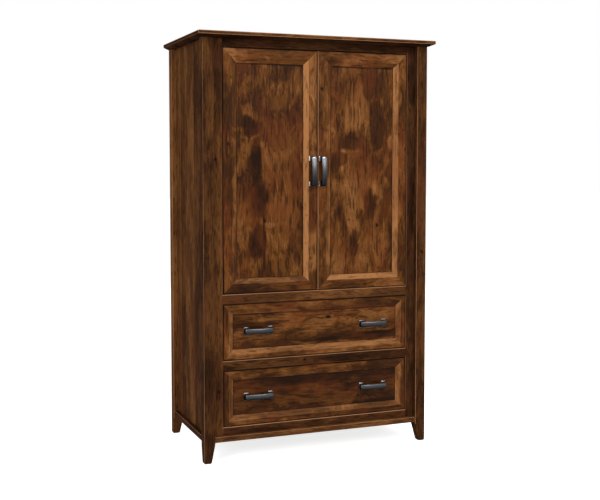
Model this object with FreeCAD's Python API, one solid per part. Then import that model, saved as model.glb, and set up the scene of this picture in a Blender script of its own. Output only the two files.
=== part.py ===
import FreeCAD, Part
import os

# A television armoire in stained knotty wood: two inset doors above two inset drawers, on square legs
# that taper at the foot. Millimetres. X runs to the viewer's right, Y to the back, Z up. The origin is
# on the floor, under the middle of the top panel.

Vector = FreeCAD.Vector
ORIGIN = Vector(0, 0, 0)
X_AXIS = Vector(1, 0, 0)
Y_AXIS = Vector(0, 1, 0)
Z_AXIS = Vector(0, 0, 1)
QUARTER_TURN = 90
HALF_TURN = 180

# How far the middle of a quarter arc lies in from its square corner, as a share of the radius
quarter_arc_share = 1 - 0.5 ** 0.5

# Overall sizes
height = 1880.0
top_width = 1135.0
top_depth = 617.0
side_overhang = 25.5
front_overhang = 35.0
cut_overrun = 5.0

# Top panel: a square edge with a bevel under it on the front and the ends
top_edge_height = 15.0
under_bevel_height = 10.0
under_bevel_depth = 24.0
top_arris = 1.5

# Legs, tapered on their two inner faces below the case
leg_width = 50.0
leg_round = 3.0
foot_taper = 17.0
foot_shoulder = 2.0
foot_arris = 4.0

# Front frame
frame_setback = 22.0
frame_thickness = 22.0
stile_width = 43.5
rail_height = 42.5
top_rail_height = 34.5
bottom_rail_height = 60.5
base_clearance = 90.0
drawer_opening_height = 252.0
opening_ease = 2.5

# Side panels and base mouldings
side_setback = 22.0
side_panel_thickness = 12.0
panel_tongue = 8.0
tongue_end_room = 1.0
moulding_height = 26.0
moulding_setback = 2.0
moulding_round = 9.0
moulding_ease = 3.0

# Back, floors and shelf
back_rail_height = 60.0
back_rail_thickness = 18.0
back_rail_setback = 2.0
back_panel_thickness = 6.0
cable_slot_height = 60.0
deck_thickness = 18.0
thin_floor_thickness = 9.0
shelf_thickness = 18.0
shelf_level_share = 0.7
shelf_setback = 32.0
shelf_play = 1.0
shelf_back_room = 4.0

# Shelf pins in rows of holes
pin_radius = 2.5
pin_hole_play = 0.05
pin_seat = 9.0
pin_reach = 10.0
pin_inset = 45.0
pin_hole_pitch = 32.0
pin_hole_count = 3

# Framed fronts of doors and drawers: mitred members with a bevel that falls to the panel
reveal = 2.5
front_thickness = 22.0
door_flat = 42.0
drawer_flat = 22.5
bevel_width = 23.0
bevel_depth = 10.0
panel_recess = 12.0
panel_thickness = 6.0
panel_groove = 8.0
panel_edge_room = 1.5
front_ease = 2.0

# Pivot hinges in the top and bottom edges of the doors
pivot_inset = 16.0
pivot_depth = 8.0
leaf_length = 45.0
leaf_width = 10.0
leaf_thickness = 3.0
hinge_pin_radius = 2.5
hinge_pin_play = 0.05
hinge_pin_end_room = 0.3
washer_radius = 4.5
washer_play = 0.3

# Magnetic catches behind the top rail, and their strikes
catch_width = 40.0
catch_depth = 12.0
catch_lap = 14.0
catch_drop = 14.0
catch_gap = 0.3
catch_from_edge = 30.0
strike_thickness = 1.2
strike_margin = 2.0

# Bow pulls
pull_length = 140.0
pull_foot_length = 24.0
pull_width = 23.0
pull_foot_width = 36.0
pull_foot_flare = 17.0
pull_shoulder = 23.0
pull_crest = 32.0
pull_thickness = 8.0
pull_lean = 3.0
pull_ease = 2.5
door_pull_offset = 23.0
drawer_pull_spread_share = 0.631

# Drawer boxes
box_board = 14.0
box_lift = 24.0
box_top_room = 28.0
box_back_room = 38.0
box_bottom_thickness = 6.0
box_bottom_lift = 10.0
box_groove = 6.0

# Three-member drawer slides and the blocks that carry them
slide_height = 45.0
slide_back_room = 4.0
slide_thickness = 12.7
slide_gauge = 1.4
slide_gap = 0.4
slide_flange_lap_share = 0.74
slide_block_height = 70.0

# Places that follow from the sizes above
top_thickness = top_edge_height + under_bevel_height
top_underside = height - top_thickness
top_front = -top_depth / 2
top_back = top_depth / 2
leg_front = top_front + front_overhang
leg_rear = top_back
front_leg_back = leg_front + leg_width
back_leg_front = leg_rear - leg_width
leg_outer = top_width / 2 - side_overhang
leg_inner = leg_outer - leg_width
foot_height = base_clearance - foot_shoulder

frame_front = leg_front + frame_setback
frame_back = frame_front + frame_thickness
opening_half = leg_inner - stile_width
lower_opening_bottom = base_clearance + bottom_rail_height
lower_opening_top = lower_opening_bottom + drawer_opening_height
upper_opening_bottom = lower_opening_top + rail_height
upper_opening_top = upper_opening_bottom + drawer_opening_height
door_opening_bottom = upper_opening_top + rail_height
door_opening_top = top_underside - top_rail_height

side_outer = leg_outer - side_setback
side_inner = side_outer - side_panel_thickness
back_rail_back = leg_rear - back_rail_setback
back_rail_front = back_rail_back - back_rail_thickness
back_panel_front = back_rail_front - back_panel_thickness
shelf_front = frame_back + shelf_setback
shelf_back = back_leg_front - shelf_back_room
shelf_level = door_opening_bottom + shelf_level_share * (door_opening_top - door_opening_bottom)
pin_level = shelf_level - pin_radius

door_width = opening_half - reveal - reveal / 2
door_height = door_opening_top - door_opening_bottom - 2 * reveal
door_left = -opening_half + reveal
door_bottom = door_opening_bottom + reveal
door_top = door_bottom + door_height
pivot_x = door_left + pivot_inset
pivot_y = frame_front + pivot_depth
drawer_front_width = 2 * (opening_half - reveal)
drawer_front_height = drawer_opening_height - 2 * reveal
drawer_pull_spread = drawer_front_width * drawer_pull_spread_share
box_half = opening_half - slide_thickness
box_back = back_leg_front - box_back_room
slide_front = front_leg_back
slide_back = box_back - slide_back_room


def block(x0, x1, y0, y1, z0, z1):
    """A box between two corners."""
    return Part.makeBox(x1 - x0, y1 - y0, z1 - z0, Vector(x0, y0, z0))


def prism(points, sweep):
    """A closed outline of points, swept along a vector."""
    return Part.Face(Part.makePolygon(points + points[:1])).extrude(sweep)


def outline_prism(edges, sweep):
    """A closed outline of lines and arcs, swept along a vector."""
    return Part.Face(Part.Wire([edge.toShape() for edge in edges])).extrude(sweep)


def skin(outlines):
    """A solid of flat faces between matching closed outlines, with its two ends closed."""
    faces = [Part.Face(Part.makePolygon(end + end[:1])) for end in (outlines[0], outlines[-1])]
    for lower, upper in zip(outlines, outlines[1:]):
        for index in range(len(lower)):
            after = (index + 1) % len(lower)
            corners = [lower[index], lower[after], upper[after], upper[index], lower[index]]
            faces.append(Part.Face(Part.makePolygon(corners)))
    solid = Part.makeSolid(Part.makeShell(faces))
    if solid.Volume < 0:
        solid.reverse()
    return solid


def rod(radius, start, along):
    """A cylinder from a point, along a vector."""
    return Part.makeCylinder(radius, along.Length, start, along)


def mirrored(shape):
    """The same piece on the other side of the armoire."""
    return shape.mirror(ORIGIN, X_AXIS)


def both_sides(shape):
    """A piece and its mirror image."""
    return [shape, mirrored(shape)]


def group(shapes):
    """Separate solids that share one node."""
    return Part.makeCompound(shapes)


def moved(shape, x, y, z):
    """A copy of a piece, shifted."""
    copy = shape.copy()
    copy.translate(Vector(x, y, z))
    return copy


def turned(shape, axis, degrees):
    """A copy of a piece, turned about an axis through the origin."""
    copy = shape.copy()
    copy.rotate(ORIGIN, axis, degrees)
    return copy


def top_section(level, inset, back_inset):
    """Outline of the top panel at one level."""
    half = top_width / 2 - inset
    front = top_front + inset
    back = top_back - back_inset
    corners = [(-half, front), (half, front), (half, back), (-half, back)]
    return [Vector(x, y, level) for x, y in corners]


def top_panel():
    """The top, with its under-bevel and eased upper arris."""
    return skin([
        top_section(top_underside, under_bevel_depth, 0),
        top_section(top_underside + under_bevel_height, 0, 0),
        top_section(height - top_arris, 0, 0),
        top_section(height, top_arris, top_arris),
    ])


def leg_profile():
    """Side view of a leg as (distance from the outer face, level) pairs."""
    foot_width = leg_width - foot_taper
    return [
        (foot_arris, 0),
        (foot_width - foot_arris, 0),
        (foot_width, foot_arris),
        (leg_width, foot_height),
        (leg_width, top_underside),
        (0, top_underside),
        (0, foot_arris),
    ]


def rounded_square(size, radius, sweep):
    """A square bar with rounded corners, from the origin into +X and +Y."""
    bar = Part.makeBox(size, size, sweep)
    upright = [e for e in bar.Edges if abs(e.tangentAt(e.FirstParameter).dot(Z_AXIS)) == 1]
    return bar.makeFillet(radius, upright)


def leg_blank():
    """A leg whose outer corner stands at the origin and whose body lies in +X and +Y."""
    profile = leg_profile()
    one_view = prism([Vector(u, 0, z) for u, z in profile], Vector(0, leg_width, 0))
    other_view = prism([Vector(0, u, z) for u, z in profile], Vector(leg_width, 0, 0))
    return rounded_square(leg_width, leg_round, top_underside).common(one_view).common(other_view)


def side_panel_groove(y0, y1):
    """The cut that takes a side panel's tongue."""
    return block(-side_outer, -side_inner, y0, y1, base_clearance, height)


def front_left_leg():
    """Front leg, grooved at its back for the side panel."""
    leg = moved(leg_blank(), -leg_outer, leg_front, 0)
    groove_depth = panel_tongue + tongue_end_room
    return leg.cut(side_panel_groove(front_leg_back - groove_depth, front_leg_back + cut_overrun))


def back_left_leg():
    """Back leg, grooved for the side panel and the back panels."""
    leg = moved(turned(leg_blank(), Z_AXIS, -QUARTER_TURN), -leg_outer, leg_rear, 0)
    groove_depth = panel_tongue + tongue_end_room
    leg = leg.cut(side_panel_groove(back_leg_front - cut_overrun, back_leg_front + groove_depth))
    return leg.cut(block(-leg_inner - groove_depth, -leg_inner + cut_overrun,
                         back_panel_front, back_rail_front, base_clearance, height))


def pin_rows():
    """Places of the two rows of shelf pins as Y values."""
    return [shelf_front + pin_inset, shelf_back - pin_inset]


def left_side_panel():
    """Side panel with its tongues and its two rows of shelf pin holes."""
    panel = block(-side_outer, -side_inner, front_leg_back - panel_tongue, back_leg_front + panel_tongue,
                  base_clearance, top_underside)
    lowest = pin_level - pin_hole_pitch * (pin_hole_count - 1) / 2
    for y in pin_rows():
        for index in range(pin_hole_count):
            mouth = Vector(-side_inner, y, lowest + index * pin_hole_pitch)
            panel = panel.cut(rod(pin_radius + pin_hole_play, mouth, Vector(-pin_seat, 0, 0)))
    return panel


def shelf_pins():
    """Four pins in the side panels, under the shelf."""
    pins = []
    for y in pin_rows():
        start = Vector(-side_inner - pin_seat, y, pin_level)
        pins += both_sides(rod(pin_radius, start, Vector(pin_seat + pin_reach, 0, 0)))
    return group(pins)


def moulding(length, projection):
    """Base moulding along +X, standing out to -Y, with a rounded upper arris."""
    shoulder = moulding_height - moulding_round
    bend = moulding_round * quarter_arc_share
    round_start = Vector(0, -projection, shoulder)
    round_middle = Vector(0, -projection + bend, moulding_height - bend)
    round_end = Vector(0, -projection + moulding_round, moulding_height)
    corners = [
        round_end,
        Vector(0, 0, moulding_height),
        Vector(0, 0, 0),
        Vector(0, -projection + moulding_ease, 0),
        Vector(0, -projection, moulding_ease),
        round_start,
    ]
    edges = [Part.LineSegment(a, b) for a, b in zip(corners, corners[1:])]
    edges.append(Part.Arc(round_start, round_middle, round_end))
    return outline_prism(edges, Vector(length, 0, 0))


def front_base_moulding():
    """Moulding across the front, between the front legs."""
    strip = moulding(2 * leg_inner, frame_setback - moulding_setback)
    return moved(strip, -leg_inner, frame_front, base_clearance)


def left_base_moulding():
    """Moulding along the side, between the two left legs."""
    strip = moulding(back_leg_front - front_leg_back, side_setback - moulding_setback)
    return moved(turned(strip, Z_AXIS, -QUARTER_TURN), -side_outer, back_leg_front, base_clearance)


def easing(bottom, top):
    """A shallow funnel that eases the front arrises round an opening."""
    def outline(depth, spread):
        half = opening_half + spread
        low, high = bottom - spread, top + spread
        corners = [(-half, low), (half, low), (half, high), (-half, high)]
        return [Vector(x, frame_front + depth, z) for x, z in corners]
    return skin([outline(opening_ease, 0), outline(-opening_ease, 2 * opening_ease)])


def eased(member):
    """A front frame member with its arrises eased round the three openings."""
    openings = [
        (lower_opening_bottom, lower_opening_top),
        (upper_opening_bottom, upper_opening_top),
        (door_opening_bottom, door_opening_top),
    ]
    for bottom, top in openings:
        member = member.cut(easing(bottom, top))
    return member


def left_stile():
    """Front stile between the leg and the openings."""
    return eased(block(-leg_inner, -opening_half, frame_front, frame_back, base_clearance, top_underside))


def rail(bottom, top):
    """A front rail between the stiles."""
    return eased(block(-opening_half, opening_half, frame_front, frame_back, bottom, top))


def back_panel(bottom, top):
    """A thin back panel with its ends in the back legs' grooves."""
    half = leg_inner + panel_tongue
    return block(-half, half, back_panel_front, back_rail_front, bottom, top)


def back_rails():
    """Rails across the back: at the foot, behind the deck and at the top."""
    bottoms = [base_clearance, door_opening_bottom - back_rail_height, top_underside - back_rail_height]
    return group([block(-leg_inner, leg_inner, back_rail_front, back_rail_back, z, z + back_rail_height)
                  for z in bottoms])


def floor_board(top, thickness):
    """A board across the inside of the case, notched round the four legs."""
    board = block(-side_inner, side_inner, frame_back, back_panel_front, top - thickness, top)
    for y in (leg_front, back_leg_front):
        post = block(-leg_outer, -leg_inner, y, y + leg_width, 0, height)
        for notch in both_sides(post):
            board = board.cut(notch)
    return board


def tv_shelf():
    """Loose shelf on the pins."""
    half = side_inner - shelf_play
    return block(-half, half, shelf_front, shelf_back, shelf_level, shelf_level + shelf_thickness)


def front_profile(flat):
    """Section of a front's frame as (distance from the outer edge, depth from the face) pairs."""
    width = flat + bevel_width
    groove_bottom = width - panel_groove
    panel_back = panel_recess + panel_thickness
    return [
        (0, front_ease),
        (front_ease, 0),
        (flat, 0),
        (width, bevel_depth),
        (width, panel_recess),
        (groove_bottom, panel_recess),
        (groove_bottom, panel_back),
        (width, panel_back),
        (width, front_thickness),
        (0, front_thickness),
    ]


def mitred_member(length, flat):
    """A frame member along +X with its outer edge at the bottom and a mitre at each end."""
    profile = front_profile(flat)
    start = [Vector(u, v, u) for u, v in profile]
    end = [Vector(length - u, v, u) for u, v in profile]
    return skin([start, end])


def mitred_frame(width, tall, flat):
    """The four members of a front, with its lower left corner at the origin."""
    across = mitred_member(width, flat)
    upright = mitred_member(tall, flat)
    return {
        "bottom": across,
        "top": moved(turned(across, Y_AXIS, HALF_TURN), width, 0, tall),
        "left": moved(turned(upright, Y_AXIS, QUARTER_TURN), 0, 0, tall),
        "right": moved(turned(upright, Y_AXIS, -QUARTER_TURN), width, 0, 0),
    }


def front_panel(width, tall, flat):
    """The flat panel held in a front's grooves."""
    edge = flat + bevel_width - panel_groove + panel_edge_room
    return block(edge, width - edge, panel_recess, panel_recess + panel_thickness, edge, tall - edge)


def leaf_blank(bottom):
    """A hinge leaf that runs from the pivot towards the middle of the door, from one level up."""
    half = leaf_width / 2
    near = pivot_x - half
    return block(near, near + leaf_length, pivot_y - half, pivot_y + half, bottom, bottom + leaf_thickness)


def case_leaves_left():
    """Leaves in the rails above and below the left door, each with its washer and pin."""
    washer_height = reveal - washer_play
    pin_length = reveal + leaf_thickness - hinge_pin_end_room
    leaves = []
    for level, leaf_bottom, up in ((door_opening_top, door_opening_top, -1),
                                   (door_opening_bottom, door_opening_bottom - leaf_thickness, 1)):
        foot = Vector(pivot_x, pivot_y, level)
        washer = rod(washer_radius, foot, Vector(0, 0, up * washer_height))
        pin = rod(hinge_pin_radius, foot, Vector(0, 0, up * pin_length))
        leaves.append(leaf_blank(leaf_bottom).fuse([washer, pin]).removeSplitter())
    return leaves


def door_leaf_blanks_left():
    """Solid leaves in the left door's top and bottom edges."""
    return [leaf_blank(door_top - leaf_thickness), leaf_blank(door_bottom)]


def door_leaves_left():
    """The left door's leaves, bored for the hinge pins."""
    bore = rod(hinge_pin_radius + hinge_pin_play, Vector(pivot_x, pivot_y, 0), Vector(0, 0, height))
    return group([leaf.cut(bore) for leaf in door_leaf_blanks_left()])


def hinged_rail(bottom, top):
    """A rail with mortises for the hinge leaves of both doors."""
    member = rail(bottom, top)
    for level in (door_opening_top, door_opening_bottom - leaf_thickness):
        for mortise in both_sides(leaf_blank(level)):
            member = member.cut(mortise)
    return member


def catch_left():
    """Magnetic catch on the back of the top rail, hanging down behind the left door."""
    face = frame_back + catch_gap
    rear = frame_back + catch_depth
    low = door_top - catch_drop
    high = door_opening_top + catch_lap
    outline = [(frame_back, high), (rear, high), (rear, low), (face, low),
               (face, door_opening_top), (frame_back, door_opening_top)]
    start = -catch_from_edge - catch_width
    return prism([Vector(start, y, z) for y, z in outline], Vector(catch_width, 0, 0))


def strike_left():
    """Steel strike let into the back of the left door's top rail."""
    back = frame_front + front_thickness
    return block(-catch_from_edge - catch_width, -catch_from_edge, back - strike_thickness, back,
                 door_top - catch_drop, door_top - strike_margin)


def bow_pull():
    """A bow pull along X, standing on the XZ plane and out to -Y."""
    half = pull_length / 2
    inner = half - pull_foot_length
    hollow_shoulder = pull_shoulder - pull_thickness
    def at(x, out):
        return Vector(x, -out, -pull_foot_width / 2)
    outer_left = at(-half + pull_lean, pull_shoulder)
    outer_right = at(half - pull_lean, pull_shoulder)
    hollow_left = at(-inner + pull_lean, hollow_shoulder)
    hollow_right = at(inner - pull_lean, hollow_shoulder)
    side_view = outline_prism([
        Part.LineSegment(at(-half, 0), outer_left),
        Part.Arc(outer_left, at(0, pull_crest), outer_right),
        Part.LineSegment(outer_right, at(half, 0)),
        Part.LineSegment(at(half, 0), at(inner, 0)),
        Part.LineSegment(at(inner, 0), hollow_right),
        Part.Arc(hollow_right, at(0, pull_crest - pull_thickness), hollow_left),
        Part.LineSegment(hollow_left, at(-inner, 0)),
        Part.LineSegment(at(-inner, 0), at(-half, 0)),
    ], Vector(0, 0, pull_foot_width))
    wide, slim = pull_foot_width / 2, pull_width / 2
    end_outline = [(wide, 0), (slim, pull_foot_flare), (slim, pull_crest),
                   (-slim, pull_crest), (-slim, pull_foot_flare), (-wide, 0)]
    end_view = prism([Vector(-half, -out, z) for z, out in end_outline], Vector(pull_length, 0, 0))
    pull = side_view.common(end_view)
    crown = [e for e in pull.Edges if e.BoundBox.YMax < -pull_shoulder + pull_ease]
    return pull.makeChamfer(pull_ease, crown)


def door_parts_left():
    """Every piece of the left door, by node name without its side."""
    frame = {name: moved(member, door_left, frame_front, door_bottom)
             for name, member in mitred_frame(door_width, door_height, door_flat).items()}
    panel = front_panel(door_width, door_height, door_flat)
    upper_leaf, lower_leaf = door_leaf_blanks_left()
    pull = moved(turned(bow_pull(), Y_AXIS, QUARTER_TURN),
                 door_left + door_width - door_pull_offset, frame_front, door_bottom + door_height / 2)
    return {
        "door_hinge_stile": frame["left"],
        "door_meeting_stile": frame["right"],
        "door_top_rail": frame["top"].cut(upper_leaf).cut(strike_left()),
        "door_bottom_rail": frame["bottom"].cut(lower_leaf),
        "door_panel": moved(panel, door_left, frame_front, door_bottom),
        "door_pull": pull,
        "door_hinge_leaves": door_leaves_left(),
        "door_strike": strike_left(),
    }


def channel(near, far, half_height, web_at_near):
    """A slide member on the left: a web with two flanges, between two distances from its block."""
    flange = half_height - slide_gauge
    x0, x1 = -opening_half + near, -opening_half + far
    inside = (x0 + slide_gauge, x1 + cut_overrun) if web_at_near else (x0 - cut_overrun, x1 - slide_gauge)
    outer = block(x0, x1, slide_front, slide_back, -half_height, half_height)
    return outer.cut(block(inside[0], inside[1], slide_front - cut_overrun, slide_back + cut_overrun,
                           -flange, flange))


def slide_members(level):
    """Case, middle and drawer members of one drawer's two slides, each as a pair."""
    step = slide_gauge + slide_gap
    half = slide_height / 2
    case_reach = slide_thickness * slide_flange_lap_share
    members = [
        channel(0, case_reach, half, True),
        channel(step, slide_thickness - step, half - step, True),
        channel(2 * step, slide_thickness, half - 2 * step, False),
    ]
    return [both_sides(moved(member, 0, 0, level)) for member in members]


def slide_block_left(level):
    """Block between the side panel and a slide."""
    half = slide_block_height / 2
    return block(-side_inner, -opening_half, front_leg_back, back_leg_front, level - half, level + half)


def drawer_box(bottom):
    """The four boards of a drawer box and its bottom, for an opening at this level."""
    low = bottom + box_lift
    high = bottom + drawer_opening_height - box_top_room
    inner = box_half - box_board
    floor_low = low + box_bottom_lift
    floor = block(-inner - box_groove, inner + box_groove,
                  frame_back + box_board - box_groove, box_back - box_board + box_groove,
                  floor_low, floor_low + box_bottom_thickness)
    sides = both_sides(block(-box_half, -inner, frame_back, box_back, low, high))
    ends = [block(-inner, inner, frame_back, frame_back + box_board, low, high),
            block(-inner, inner, box_back - box_board, box_back, low, high)]
    return group([board.cut(floor) for board in sides + ends]), floor


def drawer_parts(opening_bottom):
    """Every piece that moves with a drawer, by node name without its place."""
    low = opening_bottom + reveal
    middle = opening_bottom + drawer_opening_height / 2
    left = -drawer_front_width / 2
    members = mitred_frame(drawer_front_width, drawer_front_height, drawer_flat).values()
    panel = front_panel(drawer_front_width, drawer_front_height, drawer_flat)
    boards, floor = drawer_box(opening_bottom)
    pull = moved(bow_pull(), -drawer_pull_spread / 2, frame_front + panel_recess, middle)
    return {
        "drawer_front_frame": group([moved(member, left, frame_front, low) for member in members]),
        "drawer_front_panel": moved(panel, left, frame_front, low),
        "drawer_box": boards,
        "drawer_bottom": floor,
        "drawer_pulls": group(both_sides(pull)),
        "drawer_slide_members": group(slide_members(middle)[2]),
    }


def case_nodes():
    """Every fixed piece, by node name."""
    openings = [lower_opening_bottom, upper_opening_bottom]
    middles = [bottom + drawer_opening_height / 2 for bottom in openings]
    slide_blocks = [piece for level in middles for piece in both_sides(slide_block_left(level))]
    case_slides = [piece for level in middles for piece in slide_members(level)[0]]
    case_leaves = [piece for leaf in case_leaves_left() for piece in both_sides(leaf)]
    nodes = {
        "top_panel": top_panel(),
        "front_base_moulding": front_base_moulding(),
        "top_rail": hinged_rail(door_opening_top, top_underside),
        "door_rail": hinged_rail(upper_opening_top, door_opening_bottom),
        "drawer_rail": rail(lower_opening_top, upper_opening_bottom),
        "bottom_rail": rail(base_clearance, lower_opening_bottom),
        "upper_back_panel": back_panel(door_opening_bottom + cable_slot_height, top_underside),
        "lower_back_panel": back_panel(base_clearance, door_opening_bottom),
        "back_rails": back_rails(),
        "tv_deck": floor_board(door_opening_bottom, deck_thickness),
        "dust_panel": floor_board(lower_opening_top + rail_height / 2, thin_floor_thickness),
        "bottom_panel": floor_board(base_clearance + moulding_height, thin_floor_thickness),
        "tv_shelf": tv_shelf(),
        "shelf_pins": shelf_pins(),
        "slide_blocks": group(slide_blocks),
        "slide_case_members": group(case_slides),
        "hinge_case_leaves": group(case_leaves),
        "door_catches": group(both_sides(catch_left())),
    }
    paired = {
        "{}_stile": left_stile(),
        "front_{}_leg": front_left_leg(),
        "back_{}_leg": back_left_leg(),
        "{}_side_panel": left_side_panel(),
        "{}_base_moulding": left_base_moulding(),
    }
    for name, shape in paired.items():
        nodes[name.format("left")] = shape
        nodes[name.format("right")] = mirrored(shape)
    return nodes


def door_nodes():
    """The pieces of both doors, by node name."""
    nodes = {}
    for name, shape in door_parts_left().items():
        nodes["left_" + name] = shape
        nodes["right_" + name] = mirrored(shape)
    return nodes


def drawer_nodes():
    """The pieces of both drawers and the middle members of their slides, by node name."""
    nodes = {}
    for place, bottom in (("upper", upper_opening_bottom), ("lower", lower_opening_bottom)):
        for name, shape in drawer_parts(bottom).items():
            nodes[place + "_" + name] = shape
        nodes[place + "_slide_middle_members"] = group(slide_members(bottom + drawer_opening_height / 2)[1])
    return nodes


os.makedirs("parts", exist_ok=True)
for node, shape in {**case_nodes(), **door_nodes(), **drawer_nodes()}.items():
    shape.exportStep("parts/" + node + ".step")
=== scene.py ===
"""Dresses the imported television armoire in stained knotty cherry, with pewter pulls, in a plain studio."""
import logging
import math
import random
from collections.abc import Mapping, Sequence
from dataclasses import dataclass
from enum import Enum
from typing import Any, Optional

import bmesh
import bpy
import numpy as np
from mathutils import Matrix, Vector


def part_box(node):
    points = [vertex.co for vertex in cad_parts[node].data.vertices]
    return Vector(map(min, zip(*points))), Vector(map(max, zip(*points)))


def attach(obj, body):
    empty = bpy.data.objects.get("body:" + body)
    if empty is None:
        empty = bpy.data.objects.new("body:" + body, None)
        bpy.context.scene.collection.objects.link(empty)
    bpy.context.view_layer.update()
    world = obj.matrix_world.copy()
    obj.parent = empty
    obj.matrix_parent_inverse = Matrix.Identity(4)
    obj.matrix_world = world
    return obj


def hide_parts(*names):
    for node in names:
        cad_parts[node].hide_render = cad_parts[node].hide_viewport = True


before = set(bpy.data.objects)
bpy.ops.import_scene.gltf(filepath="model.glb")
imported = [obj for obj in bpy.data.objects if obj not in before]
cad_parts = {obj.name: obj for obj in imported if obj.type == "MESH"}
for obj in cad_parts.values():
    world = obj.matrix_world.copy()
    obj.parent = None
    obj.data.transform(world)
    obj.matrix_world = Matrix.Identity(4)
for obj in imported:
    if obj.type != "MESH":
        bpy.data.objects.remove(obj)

LOG = logging.getLogger("armoire")
MM = 0.001
# Where the flat faces of the doors and drawers lie along Y, in millimetres.
FRONT = -251.5
RIGHTWARD, BACKWARD, UPWARD = Vector((1, 0, 0)), Vector((0, 1, 0)), Vector((0, 0, 1))
# The middle stretch of a noise, where most of its values lie.
NOISE_SPAN = (0.3, 0.7)
# How far a finish's roughness rises above and falls below its own value.
ROUGH_RISE, ROUGH_FALL = 0.07, 0.05
# How much of a direction lies along an axis when it leans that way, turns that way or is in line with it.
LEANING, TURNED, IN_LINE = 0.3, 0.6, 0.9
Outline = Sequence[Vector]
Colour = tuple[float, float, float, float]
Point = tuple[float, float, float]
Span = tuple[float, float]
Tree = bpy.types.NodeTree
Node = bpy.types.Node
# What may feed a node's input: another node's first output, a socket or a plain value.
Feed = bpy.types.Node | bpy.types.NodeSocket | float


class Axis(Enum):
    """An axis of the frame, as the place of its number in a point."""

    X = 0
    Y = 1
    Z = 2


class Side(Enum):
    """Left or right half of the armoire, with the sign of its X values."""

    LEFT = -1
    RIGHT = 1

    @property
    def word(self) -> str:
        """The side as it stands in node names."""
        return self.name.lower()


class Place(Enum):
    """Upper or lower drawer, as it stands in node names."""

    UPPER = "upper"
    LOWER = "lower"


def linear(colour: str) -> Colour:
    """Turns an sRGB hex colour to linear light.

    Args:
        colour: six hex digits after a hash sign.

    Returns:
        Red, green, blue and a full alpha.
    """
    parts = [int(colour[place:place + 2], 16) / 255 for place in (1, 3, 5)]
    red, green, blue = [part / 12.92 if part <= 0.04045 else ((part + 0.055) / 1.055) ** 2.4
                        for part in parts]
    return red, green, blue, 1.0


def per_metre(size_mm: float) -> float:
    """Texture scale that gives features of a real size in millimetres."""
    return 1 / (size_mm * MM)


def blank_tree(owner: bpy.types.Material | bpy.types.World) -> Tree:
    """Empties the node tree of a new material or world.

    Args:
        owner: the material or world.

    Returns:
        Its empty tree.
    """
    owner.use_nodes = True
    owner.node_tree.nodes.clear()
    return owner.node_tree


def add(tree: Tree, kind: str, inputs: Mapping[Any, Any] | Sequence[Any] = (), **settings: Any) -> Node:
    """Adds a node to a tree.

    Args:
        tree: the node tree of a material, the world or a geometry.
        kind: the node's type name.
        inputs: what feeds its inputs, in order or by name or number. A node stands for its first output.
        settings: properties of the node, by name.

    Returns:
        The new node.
    """
    node = tree.nodes.new(kind)
    for name, value in settings.items():
        setattr(node, name, value)
    for key, value in inputs.items() if isinstance(inputs, Mapping) else enumerate(inputs):
        source = value.outputs[0] if isinstance(value, bpy.types.Node) else value
        if isinstance(source, bpy.types.NodeSocket):
            tree.links.new(source, node.inputs[key])
        else:
            node.inputs[key].default_value = source
    return node


def stops(node: Node, steps: Sequence[tuple[float, Colour]]) -> Node:
    """Fills a colour ramp.

    Args:
        node: the ramp's node.
        steps: places from 0 to 1 with their colours.

    Returns:
        The same node.
    """
    elements = node.color_ramp.elements
    while len(elements) < len(steps):
        elements.new(0.5)
    for element, (place, colour) in zip(elements, steps):
        element.position = place
        element.color = colour
    return node


@dataclass(frozen=True)
class Mark:
    """A knot, patch or streak in the wood: its middle and half sizes in millimetres, and its strength."""

    x: float
    z: float
    half_x: float
    half_z: float
    strength: float = 1.0
    half_y: float = 70.0


@dataclass(frozen=True)
class Finish:
    """A finish: its material's name and the record's slot that it fills. Each kind draws its own shader."""

    name: str
    slot: str

    def shader(self, tree: Tree) -> Node:
        """Draws the surface in a material's tree, and returns its shader."""
        raise NotImplementedError

    def material(self) -> bpy.types.Material:
        """Builds the finish's material.

        Returns:
            The new material.
        """
        made = bpy.data.materials.new(self.name)
        tree = blank_tree(made)
        add(tree, "ShaderNodeOutputMaterial", {"Surface": self.shader(tree)})
        return made


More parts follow.
